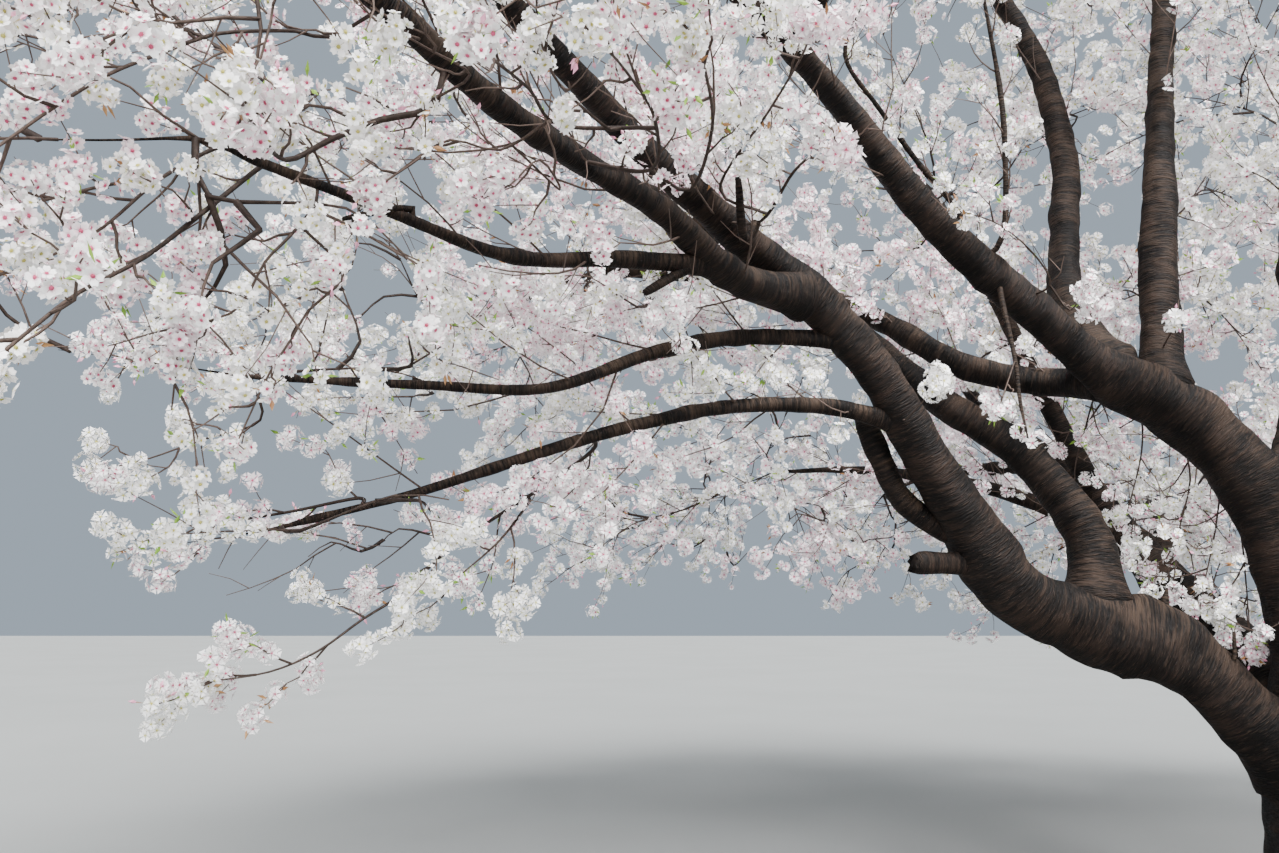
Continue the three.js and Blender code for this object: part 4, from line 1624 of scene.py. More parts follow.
@dataclass
class BlossomMass(Growth):
    """One mass of twigs in its own space, grown by the source's rule and then carried finer.

    Attributes:
        plan: Where the mass lies beyond its bough.
        centre: Its middle.
        half: Its half-extents.
        walls: For each other mass, its direction and how far the wall between the two is.
    """

    plan: MassPlan | None = None
    centre: Array = field(init=False)
    half: Array = field(init=False)
    walls: list[tuple[Array, float]] = field(default_factory=list)

    FIRST_DRAW = 4100
    LIFTS = (0.1, -0.02)
    # Powers of one root that spread points evenly in three directions, as in the source
    GOAL_STRIDES = (0.8191725134, 0.6710436067, 0.5497004779)
    SEED_STRIDE = 0.37
    GOAL_TRIES = 400
    GOAL_SHELL = (0.6, 0.97)
    GOALS_APART = 0.42
    SOURCE_TWIGS = 7
    FINER_APART = 0.3
    TWIGS = 13
    TWIG_RADII = (0.012, 0.006, 0.003)
    TWIG_ROOM = 0.02
    TWIG_FEET = (0.15, 0.92, 9)
    TWIG_LEAVE = 0.7
    TWIG_BEND = 0.3
    TWIG_MIDDLE = 0.68
    TWIG_LIFT = 0.07
    TWIG_STEP = 0.1
    FOOT_WEIGHT = 0.3
    STEM_START = 0.15
    STEM_OVERSHOOT = 0.5
    STEM_STEP = 0.08
    STEM_PUSH = 0.08
    FIRST_SPRAY = 0.15
    SIZES = (0.8, 0.7, 0.42)

    def __post_init__(self) -> None:
        """Works out where the mass lies."""
        super().__post_init__()
        heading = self.limb.plan.headings[-1] + self.plan.turn
        self.centre = self.limb.points[-1] + towards(heading, self.plan.climb) * self.plan.ahead * MM
        self.half = np.array(self.plan.half) * MM
        self.lift = self.LIFTS[0] if self.plan.climb > 0 else self.LIFTS[1]

    def reach(self, way: Array) -> float:
        """How far the mass reaches from its centre in a direction."""
        return 1 / float(np.linalg.norm(way / self.half))

    def meet(self, others: Iterable["BlossomMass"]) -> None:
        """Sets a wall between this mass's space and each other's."""
        for other in others:
            if other is self:
                continue
            gap = other.centre - self.centre
            distance = float(np.linalg.norm(gap))
            way = gap / distance
            mine = self.reach(way)
            self.walls.append((way, distance * mine / (mine + other.reach(-way))))

    def holds(self, points: Array, ease: float = 0.0) -> bool:
        """Whether points lie in the mass's space, or outside it by no more than an ease in metres."""
        out = points - self.centre
        if (np.linalg.norm(out / (self.half + ease), axis=-1) > 1).any():
            return False
        return all((out @ way <= offset + ease).all() for way, offset in self.walls)

    def goals(self) -> list[Array]:
        """Evenly spread places for the tips of twigs: the source's own, then others between."""
        goals: list[Array] = []
        for i in range(1, self.GOAL_TRIES):
            turn, height, depth = (
                (self.SEED_STRIDE * self.seed * (k + 1) + stride * i) % 1
                for k, stride in enumerate(self.GOAL_STRIDES)
            )
            way = towards(360 * turn, math.degrees(math.asin(2 * height - 1)))
            goal = self.centre + way * self.half * along(self.GOAL_SHELL, depth ** (1 / 3))
            share = self.GOALS_APART if len(goals) < self.SOURCE_TWIGS else self.FINER_APART
            apart = all(np.linalg.norm(goal - other) > share * self.half[0] for other in goals)
            if apart and self.holds(goal[None]):
                goals.append(goal)
            if len(goals) == self.TWIGS:
                break
        foot = self.limb.points[-1]
        return sorted(goals, key=lambda goal: float(np.linalg.norm(goal - foot)))

    def grow(self) -> None:
        """Grows the stem, the twigs to the goals and the sprays on them all."""
        stem = self.stem()
        hidden = self.wood.view.lies_in(stem, self.wood.view.open_places)
        main = [stem[: max(int(np.argmax(hidden)), 4)] if hidden.any() else stem]
        self.limb.leader = main[0]
        for goal in self.goals():
            path = self.path_to(goal, main)
            if self.wood.clear(path[2:], self.TWIG_ROOM) and not self.wood.view.shows_open(path[1:]):
                main.append(path)
        for number, line in enumerate(main):
            if number:
                self.twigs.append(Twig(line, along(self.TWIG_RADII, np.linspace(0, 1, len(line)))))
            self.sprays_along(line, self.FIRST_SPRAY, self.SIZES)
            self.bunches.add(line[-1], unit(line[-1] - line[-2]), self.sprays, self.TIP_CROWN)

    def stem(self) -> Array:
        """The stem's line: on from the bough's tip, in line with it, to past the mass's centre."""
        tip = self.limb.points[-1]
        heading = unit(tip - self.limb.points[-2])
        past = self.centre + (self.centre - tip) * self.STEM_OVERSHOOT
        path = np.array([tip, tip + heading * self.STEM_START, (self.centre + tip) / 2, past])
        path[2] += heading * self.STEM_PUSH
        return smoothed(path, self.STEM_STEP)

    def path_to(self, goal: Array, main: Sequence[Array]) -> Array:
        """The line of a twig to a goal, from the nearest place on those that already grow."""
        foot = main[0][0]
        best, root, ahead = math.inf, foot, UP
        for line in main:
            lengths = arc_lengths(line)
            for place in np.linspace(*self.TWIG_FEET) * lengths[-1]:
                point = at_length(line, place)
                cost = np.linalg.norm(point - goal) + self.FOOT_WEIGHT * np.linalg.norm(point - foot)
                if cost < best:
                    best, root = float(cost), point
                    ahead = unit(at_length(line, place + 0.02) - point)
        reach = float(np.linalg.norm(goal - root))
        way = (goal - root) / reach
        leave = unit(way + ahead * self.TWIG_LEAVE)
        first = root + leave * reach * self.TWIG_BEND
        second = root + way * reach * self.TWIG_MIDDLE + UP * reach * self.TWIG_LIFT
        return smoothed(np.array([root, first, second, goal]), self.TWIG_STEP)


@dataclass
class TracedShoots(Growth):
    """The shoots that the photograph shows on a bough or in its mass, with their sprays.

    Attributes:
        plans: The shoots.
    """

    plans: Sequence[ShootPlan] = ()

    FIRST_DRAW = 8100
    MINDS_OPEN = False
    FIRST_SPRAY = 0.2
    STEP = 0.15
    BARKED_RADIUS = 12.0
    POINT_STEP = 0.05
    TWIGLET_STEPS = (0.09, 0.15)
    TWIGLET_LENGTHS = (0.07, 0.18)
    POSY_AHEAD = 0.4
    POSY_REACH = (0.03, 0.05)
    POSY_RADIUS = 0.002

    def grow(self) -> None:
        """Grows the shoots and their sprays."""
        carriers = [self.limb.line, *([self.limb.leader] if self.limb.leader is not None else [])]
        for plan in self.plans:
            places = np.array([self.wood.view.point(*place) for place in plan.places])
            roots = np.vstack(carriers)
            root = roots[np.argmin(np.linalg.norm(roots - places[0], axis=1))]
            line = smoothed(np.vstack([root, places]), self.POINT_STEP)
            radii = along(plan.radii, np.linspace(0, 1, len(line))) * MM
            self.sprays += 1
            self.twigs.append(Twig(line, radii, plan.radii[0] > self.BARKED_RADIUS))
            carriers.append(line)
            if plan.sprays:
                self.sprays_along(line, self.FIRST_SPRAY, plan.sprays)
        if self.bunches.root:
            self.bunches.keep(~self.wood.hides_limb(np.array(self.bunches.root)))
        for plan, line in zip(self.plans, carriers[-len(self.plans) :]):
            if plan.crown:
                self.posy(line, plan.crown)

    def posy(self, line: Array, crown: float) -> None:
        """Sets a large round posy of bunches at a shoot's tip."""
        tip, ahead = line[-1], unit(line[-1] - line[-2])
        self.sprays += 1
        for _ in range(round(crown)):
            way = unit(self.draw.normal(0, 1, 3) + ahead * self.POSY_AHEAD)
            end = tip + way * self.draw.uniform(*self.POSY_REACH)
            self.twigs.append(Twig(np.array([tip, (tip + end) / 2, end]), np.full(3, self.POSY_RADIUS)))
            self.bunches.add(end, way, self.sprays, self.TIP_CROWN)


@dataclass
class Template:
    """The mesh of one small shape that is repeated, with the number of each face's finish.

    Its points carry how far out they are, as petal_place.
    """

    name: str
    points: list[Triple] = field(default_factory=list)
    faces: list[tuple[int, ...]] = field(default_factory=list)
    finish: list[int] = field(default_factory=list)

    def add(self, points: Iterable[Triple], faces: Iterable[tuple[int, ...]], finish: int) -> None:
        """Adds points, and faces that count their corners from the first of these points."""
        first = len(self.points)
        self.points += points
        for face in faces:
            self.faces.append(tuple(first + corner for corner in face))
            self.finish.append(finish)

    def made(self, finishes: Sequence[Material]) -> Piece:
        """An object of the shape that isn't in the scene."""
        mesh = bpy.data.meshes.new(self.name)
        mesh.from_pydata(self.points, [], self.faces)
        for material in finishes:
            mesh.materials.append(material)
        mesh.polygons.foreach_set("material_index", self.finish)
        give_points(mesh, "petal_place", "FLOAT", np.hypot(*np.array(self.points, float)[:, :2].T))
        return bpy.data.objects.new(self.name, mesh)


@dataclass(frozen=True)
class FlowerShape:
    """A single flower of five petals that looks along +Z, with a radius of one.

    Attributes:
        detail: How finely its petals are made.
        heart: The radius of the heart.
    """

    detail: Detail
    heart: float = 0.24

    HEART_RIM = 0.14
    HEART_TOP = 0.26
    PETALS = {
        Detail.NOTCHED: (
            ((0.06, 0.0, 0.0), (0.58, 0.4, 0.2), (0.95, 0.24, 0.3), (0.84, 0.0, 0.3)),
            ((0, 5, 3), (0, 3, 1), (1, 3, 2), (5, 4, 3)),
        ),
        Detail.CLEFT: (
            ((0.04, 0.0, 0.0), (0.88, 0.46, 0.26), (0.84, 0.0, 0.22)),
            ((0, 3, 2), (0, 2, 1)),
        ),
        Detail.PLAIN: (((0.0, 0.0, 0.0), (0.9, 0.48, 0.26)), ((0, 2, 1),)),
    }

    def template(self, name: str) -> Template:
        """The flower's mesh, with petals of finish 0 and a heart of finish 1."""
        made = Template(name)
        outline, triangles = self.PETALS[self.detail]
        mirrored = [(x, -y, z) for x, y, z in reversed(outline) if y > 0]
        for petal in range(5):
            turn = 2 * math.pi * petal / 5
            cosine, sine = math.cos(turn), math.sin(turn)
            points = [(x * cosine - y * sine, x * sine + y * cosine, z) for x, y, z in (*outline, *mirrored)]
            made.add(points, triangles, 0)
        sides = 5 if self.detail is Detail.NOTCHED else 3
        ring = [2 * math.pi * (k + 0.5) / sides for k in range(sides)]
        rim = [(self.heart * math.cos(turn), self.heart * math.sin(turn), self.HEART_RIM) for turn in ring]
        if self.detail is Detail.NOTCHED:
            top = (0.0, 0.0, self.HEART_TOP)
            made.add([*rim, top], [(sides, k, (k + 1) % sides) for k in range(sides)], 1)
        else:
            made.add(rim, [(0, 1, 2)], 1)
        return made


def leaf_template(name: str) -> Template:
    """A young leaf, folded a little along its midrib, one long, that grows along +Z."""
    made = Template(name)
    points = [(0, 0, 0), (0.17, 0.05, 0.42), (-0.17, 0.05, 0.42), (0, -0.03, 0.45), (0, 0.06, 1)]
    made.add(points, [(0, 1, 3), (0, 3, 2), (1, 4, 3), (3, 4, 2)], 0)
    return made


def bud_template(name: str) -> Template:
    """A pink bud on its stalk, one long, that grows along +Z."""
    made = Template(name)
    ring = [2 * math.pi * k / 3 for k in range(3)]
    belly = [(0.14 * math.cos(turn), 0.14 * math.sin(turn), 0.68) for turn in ring]
    made.add([(0, 0, 0.42), *belly, (0, 0, 1)], [(4, k + 1, (k + 1) % 3 + 1) for k in range(3)], 0)
    made.add([(0, 0, 0.42), *belly], [(0, (k + 1) % 3 + 1, k + 1) for k in range(3)], 0)
    neck = [(0.05 * math.cos(turn), 0.05 * math.sin(turn), 0.5) for turn in ring]
    made.add([(0, 0, 0), *neck], [(0, (k + 1) % 3 + 1, k + 1) for k in range(3)], 1)
    return made


class NodeTree(Nodes):
    """A small tree of geometry nodes with named inputs."""

    def __init__(self, name: str, inputs: Sequence[tuple[str, str]]) -> None:
        """Starts the tree.

        Args:
            name: Its name.
            inputs: The name and the socket type of each input after the geometry.
        """
        super().__init__(bpy.data.node_groups.new(name, "GeometryNodeTree"))
        face = self.tree.interface
        face.new_socket("Geometry", in_out="INPUT", socket_type="NodeSocketGeometry")
        self.keys = {
            label: face.new_socket(label, in_out="INPUT", socket_type=kind).identifier
            for label, kind in inputs
        }
        face.new_socket("Geometry", in_out="OUTPUT", socket_type="NodeSocketGeometry")
        self.given = self.node("NodeGroupInput").outputs
        self.result = self.node("NodeGroupOutput").inputs[0]

    def attribute(self, name: str, kind: str) -> Socket:
        """The value of a named attribute."""
        made = self.node("GeometryNodeInputNamedAttribute", {"Name": name}, data_type=kind)
        return next(socket for socket in made.outputs if socket.enabled)

    def apply(self, carrier: Piece, values: dict[str, object]) -> Piece:
        """Runs the tree on an object and keeps the result as a plain mesh.

        Args:
            carrier: The object, whose mesh is replaced.
            values: A value for each named input.

        Returns:
            The same object with its new mesh.
        """
        modifier = carrier.modifiers.new("grow", "NODES")
        modifier.node_group = self.tree
        for label, value in values.items():
            modifier[self.keys[label]] = value
        bpy.context.view_layer.update()
        shown = carrier.evaluated_get(bpy.context.evaluated_depsgraph_get())
        mesh = bpy.data.meshes.new_from_object(shown)
        carrier.modifiers.clear()
        old = carrier.data
        carrier.data = mesh
        bpy.data.meshes.remove(old)
        mesh.name = carrier.name
        return carrier


def flower_tree() -> NodeTree:
    """The tree that sets one shape on every point, turned and sized by the point's attributes."""
    tree = NodeTree(
        "flowers_on_points",
        [
            ("Shape", "NodeSocketObject"),
            ("Radius", "NodeSocketFloat"),
            ("Unevenness", "NodeSocketFloat"),
            ("Seed", "NodeSocketInt"),
            ("Outer finish", "NodeSocketMaterial"),
            ("Inner finish", "NodeSocketMaterial"),
        ],
    )
    given = tree.given
    points = tree.node("GeometryNodeMeshToPoints", {"Mesh": given["Geometry"]})
    shape = tree.node("GeometryNodeObjectInfo", {"Object": given["Shape"]})
    spread = tree.node("FunctionNodeRandomValue", {"Seed": given["Seed"]}, data_type="FLOAT")
    floats = [socket for socket in spread.inputs if socket.enabled and socket.type == "VALUE"]
    for socket, operation in zip(floats, ("SUBTRACT", "ADD")):
        tree.feed(socket, tree.math(operation, 1.0, given["Unevenness"]))
    drawn = next(socket for socket in spread.outputs if socket.enabled)
    placed = tree.node(
        "GeometryNodeInstanceOnPoints",
        {
            "Points": points.outputs[0],
            "Instance": shape.outputs["Geometry"],
            "Rotation": tree.attribute("turn", "QUATERNION"),
            "Scale": tree.math("MULTIPLY", drawn, given["Radius"]),
        },
    )
    real = tree.node("GeometryNodeRealizeInstances", {"Geometry": placed.outputs[0]})
    flow = real.outputs[0]
    index = tree.node("GeometryNodeInputMaterialIndex").outputs[0]
    for number, label in enumerate(("Outer finish", "Inner finish")):
        same = tree.node("FunctionNodeCompare", data_type="INT", operation="EQUAL")
        whole = [socket for socket in same.inputs if socket.enabled and socket.type == "INT"]
        tree.feed(whole[0], index)
        tree.feed(whole[1], number)
        painted = tree.node(
            "GeometryNodeSetMaterial",
            {"Geometry": flow, "Selection": same.outputs[0], "Material": given[label]},
        )
        flow = painted.outputs[0]
    tree.feed(tree.result, flow)
    return tree


def twig_tree() -> NodeTree:
    """The tree that turns lines with a radius at each point into closed twigs."""
    tree = NodeTree(
        "twigs_on_lines",
        [("Sides", "NodeSocketInt"), ("Thickness", "NodeSocketFloat"), ("Finish", "NodeSocketMaterial")],
    )
    given = tree.given
    curves = tree.node("GeometryNodeMeshToCurve", {"Mesh": given["Geometry"]})
    thick = tree.math("MULTIPLY", tree.attribute("thickness", "FLOAT"), given["Thickness"])
    sized = tree.node("GeometryNodeSetCurveRadius", {"Curve": curves.outputs[0], "Radius": thick})
    profile = tree.node("GeometryNodeCurvePrimitiveCircle", {"Resolution": given["Sides"], "Radius": 1.0})
    swept = tree.node(
        "GeometryNodeCurveToMesh",
        {"Curve": sized.outputs[0], "Profile Curve": profile.outputs[0], "Fill Caps": True},
    )
    if "Scale" in swept.inputs:
        tree.feed(swept.inputs["Scale"], thick)
    real = tree.node("GeometryNodeRealizeInstances", {"Geometry": swept.outputs[0]})
    painted = tree.node("GeometryNodeSetMaterial", {"Geometry": real.outputs[0], "Material": given["Finish"]})
    tree.feed(tree.result, painted.outputs[0])
    return tree


def turns_facing(ways: Array, spins: Array) -> Array:
    """Quaternions that turn +Z to each direction after a spin about +Z.

    Args:
        ways: Unit directions.
        spins: Angles in radians.

    Returns:
        One quaternion a row, as w, x, y, z.
    """
    axis = np.cross(np.broadcast_to(UP, ways.shape), ways)
    swing = np.column_stack([1 + ways[:, 2], axis])
    swing[swing[:, 0] < 1e-6] = (0, 1, 0, 0)
    swing = unit(swing)
    w, x, y, z = swing.T
    c, s = np.cos(spins / 2), np.sin(spins / 2)
    return np.column_stack([w * c - z * s, x * c + y * s, y * c - x * s, w * s + z * c])


@dataclass(frozen=True)
class RegionPlan:
    """How a side of the crown is dressed.

    Attributes:
        name: What the region is called.
        members: The boughs and masses that it takes in.
        flowers: About how many flowers it carries.
        radius: The radius of a flower.
        bunch: About how many flowers a bunch has.
        detail: How finely the flowers are made.
        sides: How many sides a twig has.
    """

    name: str
    members: tuple[str, ...]
    flowers: int
    radius: float
    bunch: float
    detail: Detail
    sides: int = 3


@dataclass
class BunchSet:
    """Every bunch of a region that bears flowers, and how many each bears."""

    root: Array
    ahead: Array
    spray: Array
    counts: Array


@dataclass
class Region:
    """A side of the crown: the masses and boughs that share its pieces.

    Attributes:
        plan: How it is dressed.
        growths: Its twigs and bunches.
        seed: The number that makes its draw its own.
        finishes: The finishes of its pieces.
        twig_nodes: The tree of nodes that makes twigs.
        flower_nodes: The tree of nodes that repeats a flower, a leaf or a bud.
        draw: The random numbers.
    """

    plan: RegionPlan
    growths: Sequence[Growth]
    seed: int
    finishes: Finishes
    twig_nodes: NodeTree
    flower_nodes: NodeTree
    draw: Draw = field(init=False)

    FULLNESS = (0.4, 1.6)
    BLUSH_SHARE = 0.2
    GREEN_SHARE = 0.42
    FINISH_DRAW = 900
    SPRAYS_EACH = 1000
    LEAF_DRAW = 3
    LEAVES_EACH = 3
    LEAF_AHEAD = 0.5
    LEAF_STRAY = 0.8
    LEAF_REACH = (0.1, 0.38)
    LEAF_SHARE = 0.24
    GREEN_LEAF_SHARE = 0.6
    BUD_SHARE = 0.1
    LEAF_LENGTH = 0.042
    BUD_LENGTH = 0.05
    LEAST_SHARE = 0.05
    STEEPEST = 0.95
    BALL_STRAY = 0.16
    BALL_REACH = (0.3, 0.38)
    BALL_SPREAD = (0.8, 1.12)
    DEEP_REACH = 0.45
    FACE_STRAY = 0.24
    UNEVENNESS = 0.16

    def __post_init__(self) -> None:
        """Starts the random numbers."""
        self.draw = np.random.default_rng(self.seed)

    def nodes(self) -> list[str]:
        """The nodes that the region's pieces stand for."""
        return [f"blossom_{member}" for member in self.plan.members]

    def build_twigs(self) -> None:
        """Joins the region's twigs into one piece."""
        twigs = [twig for growth in self.growths for twig in growth.twigs if not twig.barked]
        points = np.vstack([twig.line for twig in twigs])
        lasts = set(np.cumsum([len(twig.line) for twig in twigs]) - 1)
        edges = [(i, i + 1) for i in range(len(points)) if i not in lasts]
        piece = mesh_object(f"{self.plan.name}_twigs", points, edges=edges)
        give_points(piece.data, "thickness", "FLOAT", np.concatenate([twig.radii for twig in twigs]))
        values = {"Sides": self.plan.sides, "Thickness": 1.0, "Finish": self.finishes.twig}
        self.twig_nodes.apply(piece, values)
        settle(piece, self.nodes())

    def bunches(self) -> BunchSet:
        """Chooses the bunches that bear flowers: every tip, and others until there are enough."""
        growths = self.growths
        crown = np.concatenate([growth.bunches.crown for growth in growths])
        tips = crown > 1
        wanted = self.plan.flowers / self.plan.bunch
        share = np.clip((wanted - tips.sum()) / max(int((~tips).sum()), 1), self.LEAST_SHARE, 1)
        kept = tips | (self.draw.uniform(0, 1, len(crown)) < share)
        root = np.vstack([growth.bunches.root for growth in growths])[kept]
        ahead = np.vstack([growth.bunches.ahead for growth in growths])[kept]
        spray = np.concatenate(
            [np.array(growth.bunches.spray) + self.SPRAYS_EACH * i for i, growth in enumerate(growths)]
        )
        fullness = crown[kept] * self.draw.uniform(*self.FULLNESS, int(kept.sum()))
        counts = np.floor(fullness * self.plan.flowers / fullness.sum() + self.draw.uniform(0, 1, len(root)))
        counts = counts.astype(int)
        log.info("%s: %d bunches, %.1f flowers each", self.plan.name, kept.sum(), counts.mean())
        return BunchSet(root, ahead, spray[kept], counts)

    def ball(self, bunches: BunchSet) -> tuple[Array, Array]:
        """Spreads each bunch's flowers evenly over a ball, and a few deeper in it.

        Args:
            bunches: The bunches.

        Returns:
            The flowers' places and the ways they face.
        """
        counts = bunches.counts
        number = np.arange(counts.sum()) - np.repeat(np.cumsum(counts) - counts, counts)
        total = np.repeat(counts, counts)
        height = 1 - (2 * number + 1) / total
        start = np.repeat(self.draw.uniform(0, 2 * math.pi, len(counts)), counts)
        turn = math.radians(GOLDEN_ANGLE) * number + start
        guide = np.where(np.abs(bunches.ahead[:, 2:]) < self.STEEPEST, UP, np.array([1.0, 0.0, 0.0]))
        across = unit(np.cross(guide, bunches.ahead))
        over = np.cross(bunches.ahead, across)
        level = np.sqrt(1 - height**2)
        way = np.repeat(bunches.ahead, counts, axis=0) * height[:, None]
        way += np.repeat(across, counts, axis=0) * (level * np.cos(turn))[:, None]
        way += np.repeat(over, counts, axis=0) * (level * np.sin(turn))[:, None]
        way = unit(way + self.draw.normal(0, self.BALL_STRAY, way.shape))
        least, growth = self.BALL_REACH
        span = self.plan.radius * (least + growth * np.sqrt(total))
        span *= self.draw.uniform(*self.BALL_SPREAD, len(total))
        span[number % 4 == 1] *= self.DEEP_REACH
        place = np.repeat(bunches.root, counts, axis=0) + way * span[:, None]
        return place, unit(way + self.draw.normal(0, self.FACE_STRAY, way.shape))

    def deal(self, sprays: Array) -> Array:
        """The kind of each flower, the same all over one spray."""
        draw = np.random.default_rng(self.FINISH_DRAW + self.seed)
        lots = draw.uniform(0, 1, sprays.max() + 1)[sprays]
        white = np.where(lots < self.BLUSH_SHARE + self.GREEN_SHARE, 0, 1)
        return np.where(lots < self.BLUSH_SHARE, 2, white)

    def plant(
        self,
        kind: str,
        shape: Template,
        place: Array,
        way: Array,
        size: float,
        finishes: Sequence[Material],
    ) -> None:
        """Makes one piece that repeats a shape.

        Args:
            kind: What the piece is called after the region.
            shape: The shape.
            place: Where each copy sits.
            way: Where each copy faces.
            size: Its size.
            finishes: Its outer and inner finish.
        """
        draw = np.random.default_rng(self.seed + len(place))
        turns = turns_facing(way, draw.uniform(0, 2 * math.pi, len(way)))
        piece = mesh_object(f"{self.plan.name}_{kind}", place)
        give_points(piece.data, "turn", "QUATERNION", turns)
        template = shape.made(finishes)
        values = {"Shape": template, "Radius": size, "Unevenness": self.UNEVENNESS, "Seed": self.seed}
        painted = dict(zip(("Outer finish", "Inner finish"), finishes))
        self.flower_nodes.apply(piece, values | painted)
        bpy.data.objects.remove(template)
        settle(piece, self.nodes())

    def build_flowers(self) -> None:
        """Joins the region's flowers into one piece for each kind, and its leaves and buds."""
        bunches = self.bunches()
        place, way = self.ball(bunches)
        kinds = self.deal(np.repeat(bunches.spray, bunches.counts))
        shape = FlowerShape(self.plan.detail).template(f"{self.plan.name}_flower")
        for number, kind in enumerate(Flower):
            chosen = kinds == number
            finishes = self.finishes.flowers[kind]
            self.plant(kind.value, shape, place[chosen], way[chosen], self.plan.radius, finishes)
        self.build_extras(bunches)

    def build_extras(self, bunches: BunchSet) -> None:
        """Makes the young leaves and buds that stand out of some of the bunches."""
        lots = self.draw.uniform(0, 1, len(bunches.counts))
        leafy = np.repeat(np.flatnonzero(lots < self.LEAF_SHARE), self.LEAVES_EACH)
        budding = np.repeat(np.flatnonzero(lots > 1 - self.BUD_SHARE), self.LEAVES_EACH)
        greens = np.random.default_rng(self.seed + self.LEAF_DRAW).uniform(0, 1, bunches.spray.max() + 1)
        green = greens[bunches.spray] < self.GREEN_LEAF_SHARE
        leaf, bud = leaf_template("leaf"), bud_template("bud")
        for kind, shape, chosen, size in (
            (Extra.GREEN_LEAF, leaf, leafy[green[leafy]], self.LEAF_LENGTH),
            (Extra.BRONZE_LEAF, leaf, leafy[~green[leafy]], self.LEAF_LENGTH),
            (Extra.BUD, bud, budding, self.BUD_LENGTH),
        ):
            stray = self.draw.normal(0, self.LEAF_STRAY, (len(chosen), 3))
            way = unit(bunches.ahead[chosen] * self.LEAF_AHEAD + stray)
            least, growth = self.LEAF_REACH
            reach = self.plan.radius * (least + growth * np.sqrt(bunches.counts[chosen]))
            place = bunches.root[chosen] + way * reach[:, None]
            finishes = self.finishes.extras[kind], self.finishes.stalk
            self.plant(kind.value, shape, place, way, size, finishes)


class Crown:
    """The masses of blossom, in regions that share their pieces."""

    REGIONS = (
        RegionPlan("near_left", ("fork", "reach"), 8000, 0.022, 10, Detail.NOTCHED, 4),
        RegionPlan(
            "far_left", ("low_left", "upper_left_arm", "lower_left_arm"), 11800, 0.024, 8, Detail.CLEFT
        ),
        RegionPlan("high_left", ("rise", "shoulder", "front_arm"), 9000, 0.026, 8, Detail.CLEFT),
        RegionPlan("behind_left", ("elbow", "cross"), 11500, 0.029, 5, Detail.PLAIN),
        RegionPlan("top", ("mast", "back_mast", "edge_mast"), 13000, 0.032, 4.5, Detail.PLAIN),
        *(
            RegionPlan(side.side, tuple(plan.name for plan in side.boughs()), 14500, 0.032, 4.8, Detail.PLAIN)
            for side in SIDES
        ),
    )

    FIRST_DRAW = 50
    DRAW_STEP = 10
    BARE_DRAW = 77
    LEFT_WHERE_BARE = 0.08

    def __init__(self, wood: Framework) -> None:
        """Places the masses and grows the twigs on them and on the boughs.

        Args:
            wood: The limbs that carry them.
        """
        plans = list(LEFT_MASSES)
        for side in SIDES:
            plans += [
                replace(plan, on=f"{side.side}_{plan.on}" if plan.on else side.side) for plan in SIDE_MASSES
            ]
        self.masses = {
            plan.on: BlossomMass(wood.limbs[plan.on], seed, wood, plan=plan)
            for seed, plan in enumerate(plans, 1)
        }
        for mass in self.masses.values():
            mass.meet(self.masses.values())
        self.sprays = {name: BoughSprays(limb, limb.seed, wood) for name, limb in wood.limbs.items()}
        self.shoots = {
            name: TracedShoots(limb, limb.seed, wood, plans=[plan for plan in SHOOTS if plan.on == name])
            for name, limb in wood.limbs.items()
        }
        for growth in self.growths():
            growth.grow()
        draw = np.random.default_rng(self.BARE_DRAW)
        for growth in (*self.masses.values(), *self.sprays.values()):
            if growth.bunches.root:
                roots = np.array(growth.bunches.root)
                bare = wood.hides_limb(roots) | wood.view.lies_in(roots, wood.view.thin_places)
                growth.bunches.keep(~bare | (draw.uniform(0, 1, len(bare)) < self.LEFT_WHERE_BARE))

    def growths(self) -> list[Growth]:
        """Everything that grows on the limbs."""
        return [*self.masses.values(), *self.sprays.values(), *self.shoots.values()]

    def build(self, finishes: Finishes) -> None:
        """Makes the pieces of every region."""
        twigs, flowers = twig_tree(), flower_tree()
        for number, plan in enumerate(self.REGIONS):
            growths = [
                growth
                for growth in self.growths()
                if growth.limb.plan.name in plan.members and growth.twigs
            ]
            seed = self.FIRST_DRAW + self.DRAW_STEP * number
            region = Region(plan, growths, seed, finishes, twigs, flowers)
            region.build_twigs()
            region.build_flowers()


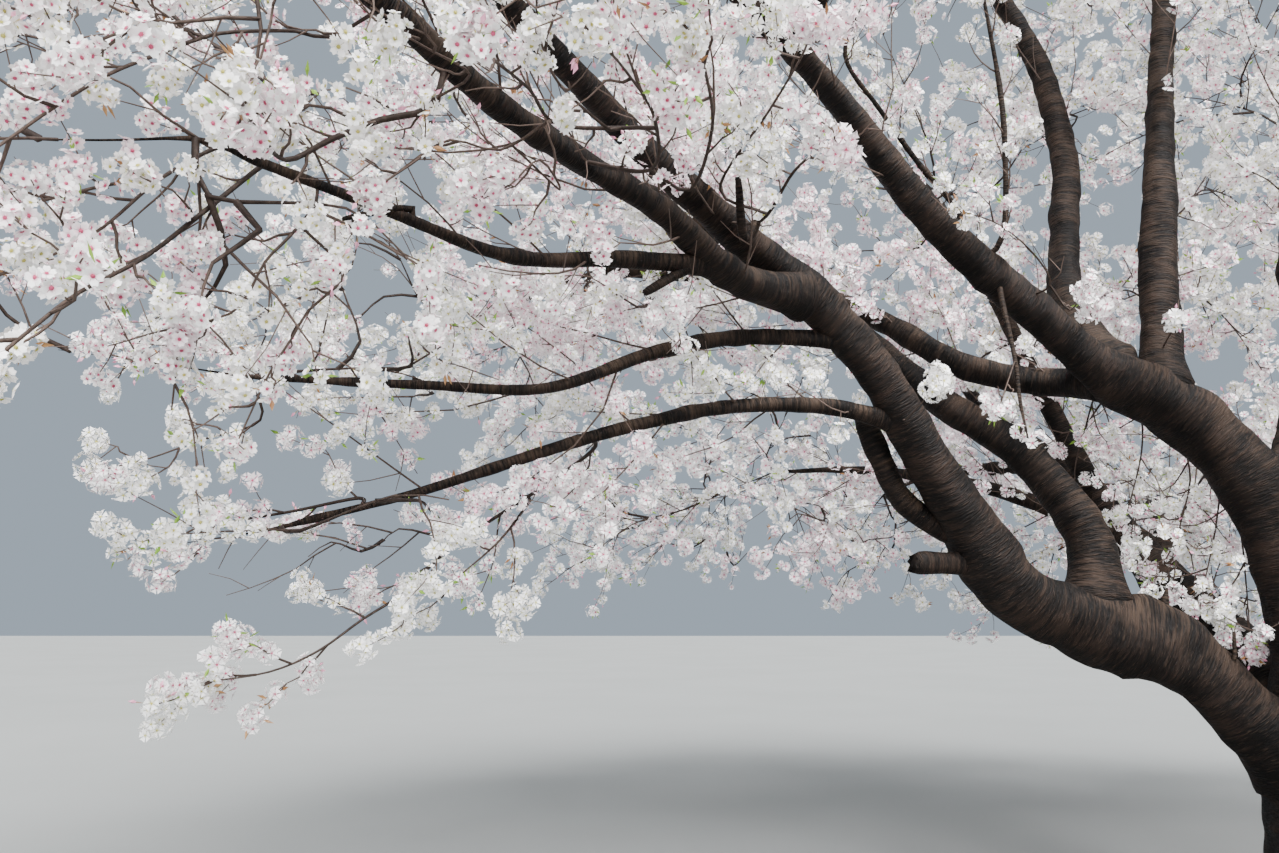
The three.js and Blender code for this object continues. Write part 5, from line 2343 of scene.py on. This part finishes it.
@dataclass(frozen=True)
class Studio:
    """The pale floor, the soft light and the camera at the photograph's angle.

    Attributes:
        view: The photograph's view.
        floor_half: Half the floor's side, in metres.
        ambient: The colour of the light from all round.
        lamps: The name, strength, width in radians and direction of each soft sun.
    """

    view: PhotoView = PhotoView()
    floor_half: float = 60.0
    ambient: Triple = (0.37, 0.445, 0.525)
    lamps: tuple[tuple[str, float, float, Triple], ...] = (
        ("key_light", 14.0, 0.7, (-0.4, 0.6, -1.0)),
        ("fill_light", 8.0, 1.4, (0.15, 1.0, -0.12)),
    )

    def build(self) -> None:
        """Sets up the studio."""
        half = self.floor_half
        corners = np.array([(-half, -half, 0), (half, -half, 0), (half, half, 0), (-half, half, 0)], float)
        floor = mesh_object("studio_floor", corners, [(0, 1, 2, 3)])
        floor.data.materials.append(
            PlainFinish("pale_floor", (0.2, 0.205, 0.2), (0.19, 0.195, 0.19), 0.4, 0.9).material()
        )
        world = bpy.data.worlds.new("studio")
        bpy.context.scene.world = world
        world.use_nodes = True
        background = world.node_tree.nodes["Background"]
        background.inputs["Color"].default_value = (*self.ambient, 1)
        background.inputs["Strength"].default_value = 1.0
        for lamp in self.lamps:
            self.light(*lamp)
        camera = bpy.data.cameras.new("photo_camera")
        camera.lens = self.view.lens
        camera.sensor_width = SENSOR_WIDTH
        camera.clip_end = 200
        placed = bpy.data.objects.new("photo_camera", camera)
        placed.location = self.view.stand
        placed.rotation_euler = (math.radians(90 + self.view.pitch), 0, 0)
        bpy.context.scene.collection.objects.link(placed)
        bpy.context.scene.camera = placed

    def light(self, name: str, strength: float, softness: float, way: Triple) -> None:
        """Adds a soft sun.

        Args:
            name: Its name.
            strength: Its strength.
            softness: The angle that it fills, in radians.
            way: The direction in which its light goes.
        """
        light = bpy.data.lights.new(name, "SUN")
        light.energy = strength
        light.angle = softness
        placed = bpy.data.objects.new(name, light)
        x, y, z = unit(np.array(way))
        placed.rotation_euler = (math.acos(-z), 0, math.atan2(y, x) - math.pi / 2)
        bpy.context.scene.collection.objects.link(placed)


def main() -> None:
    """Builds the studio, the bark, the twigs and the blossom."""
    logging.basicConfig(level=logging.INFO, format="%(message)s")
    Studio().build()
    finishes = Finishes()
    wood = Framework()
    crown = Crown(wood)
    wood.build(finishes.bark, crown.growths())
    crown.build(finishes)
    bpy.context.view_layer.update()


if __name__ == "__main__":
    main()
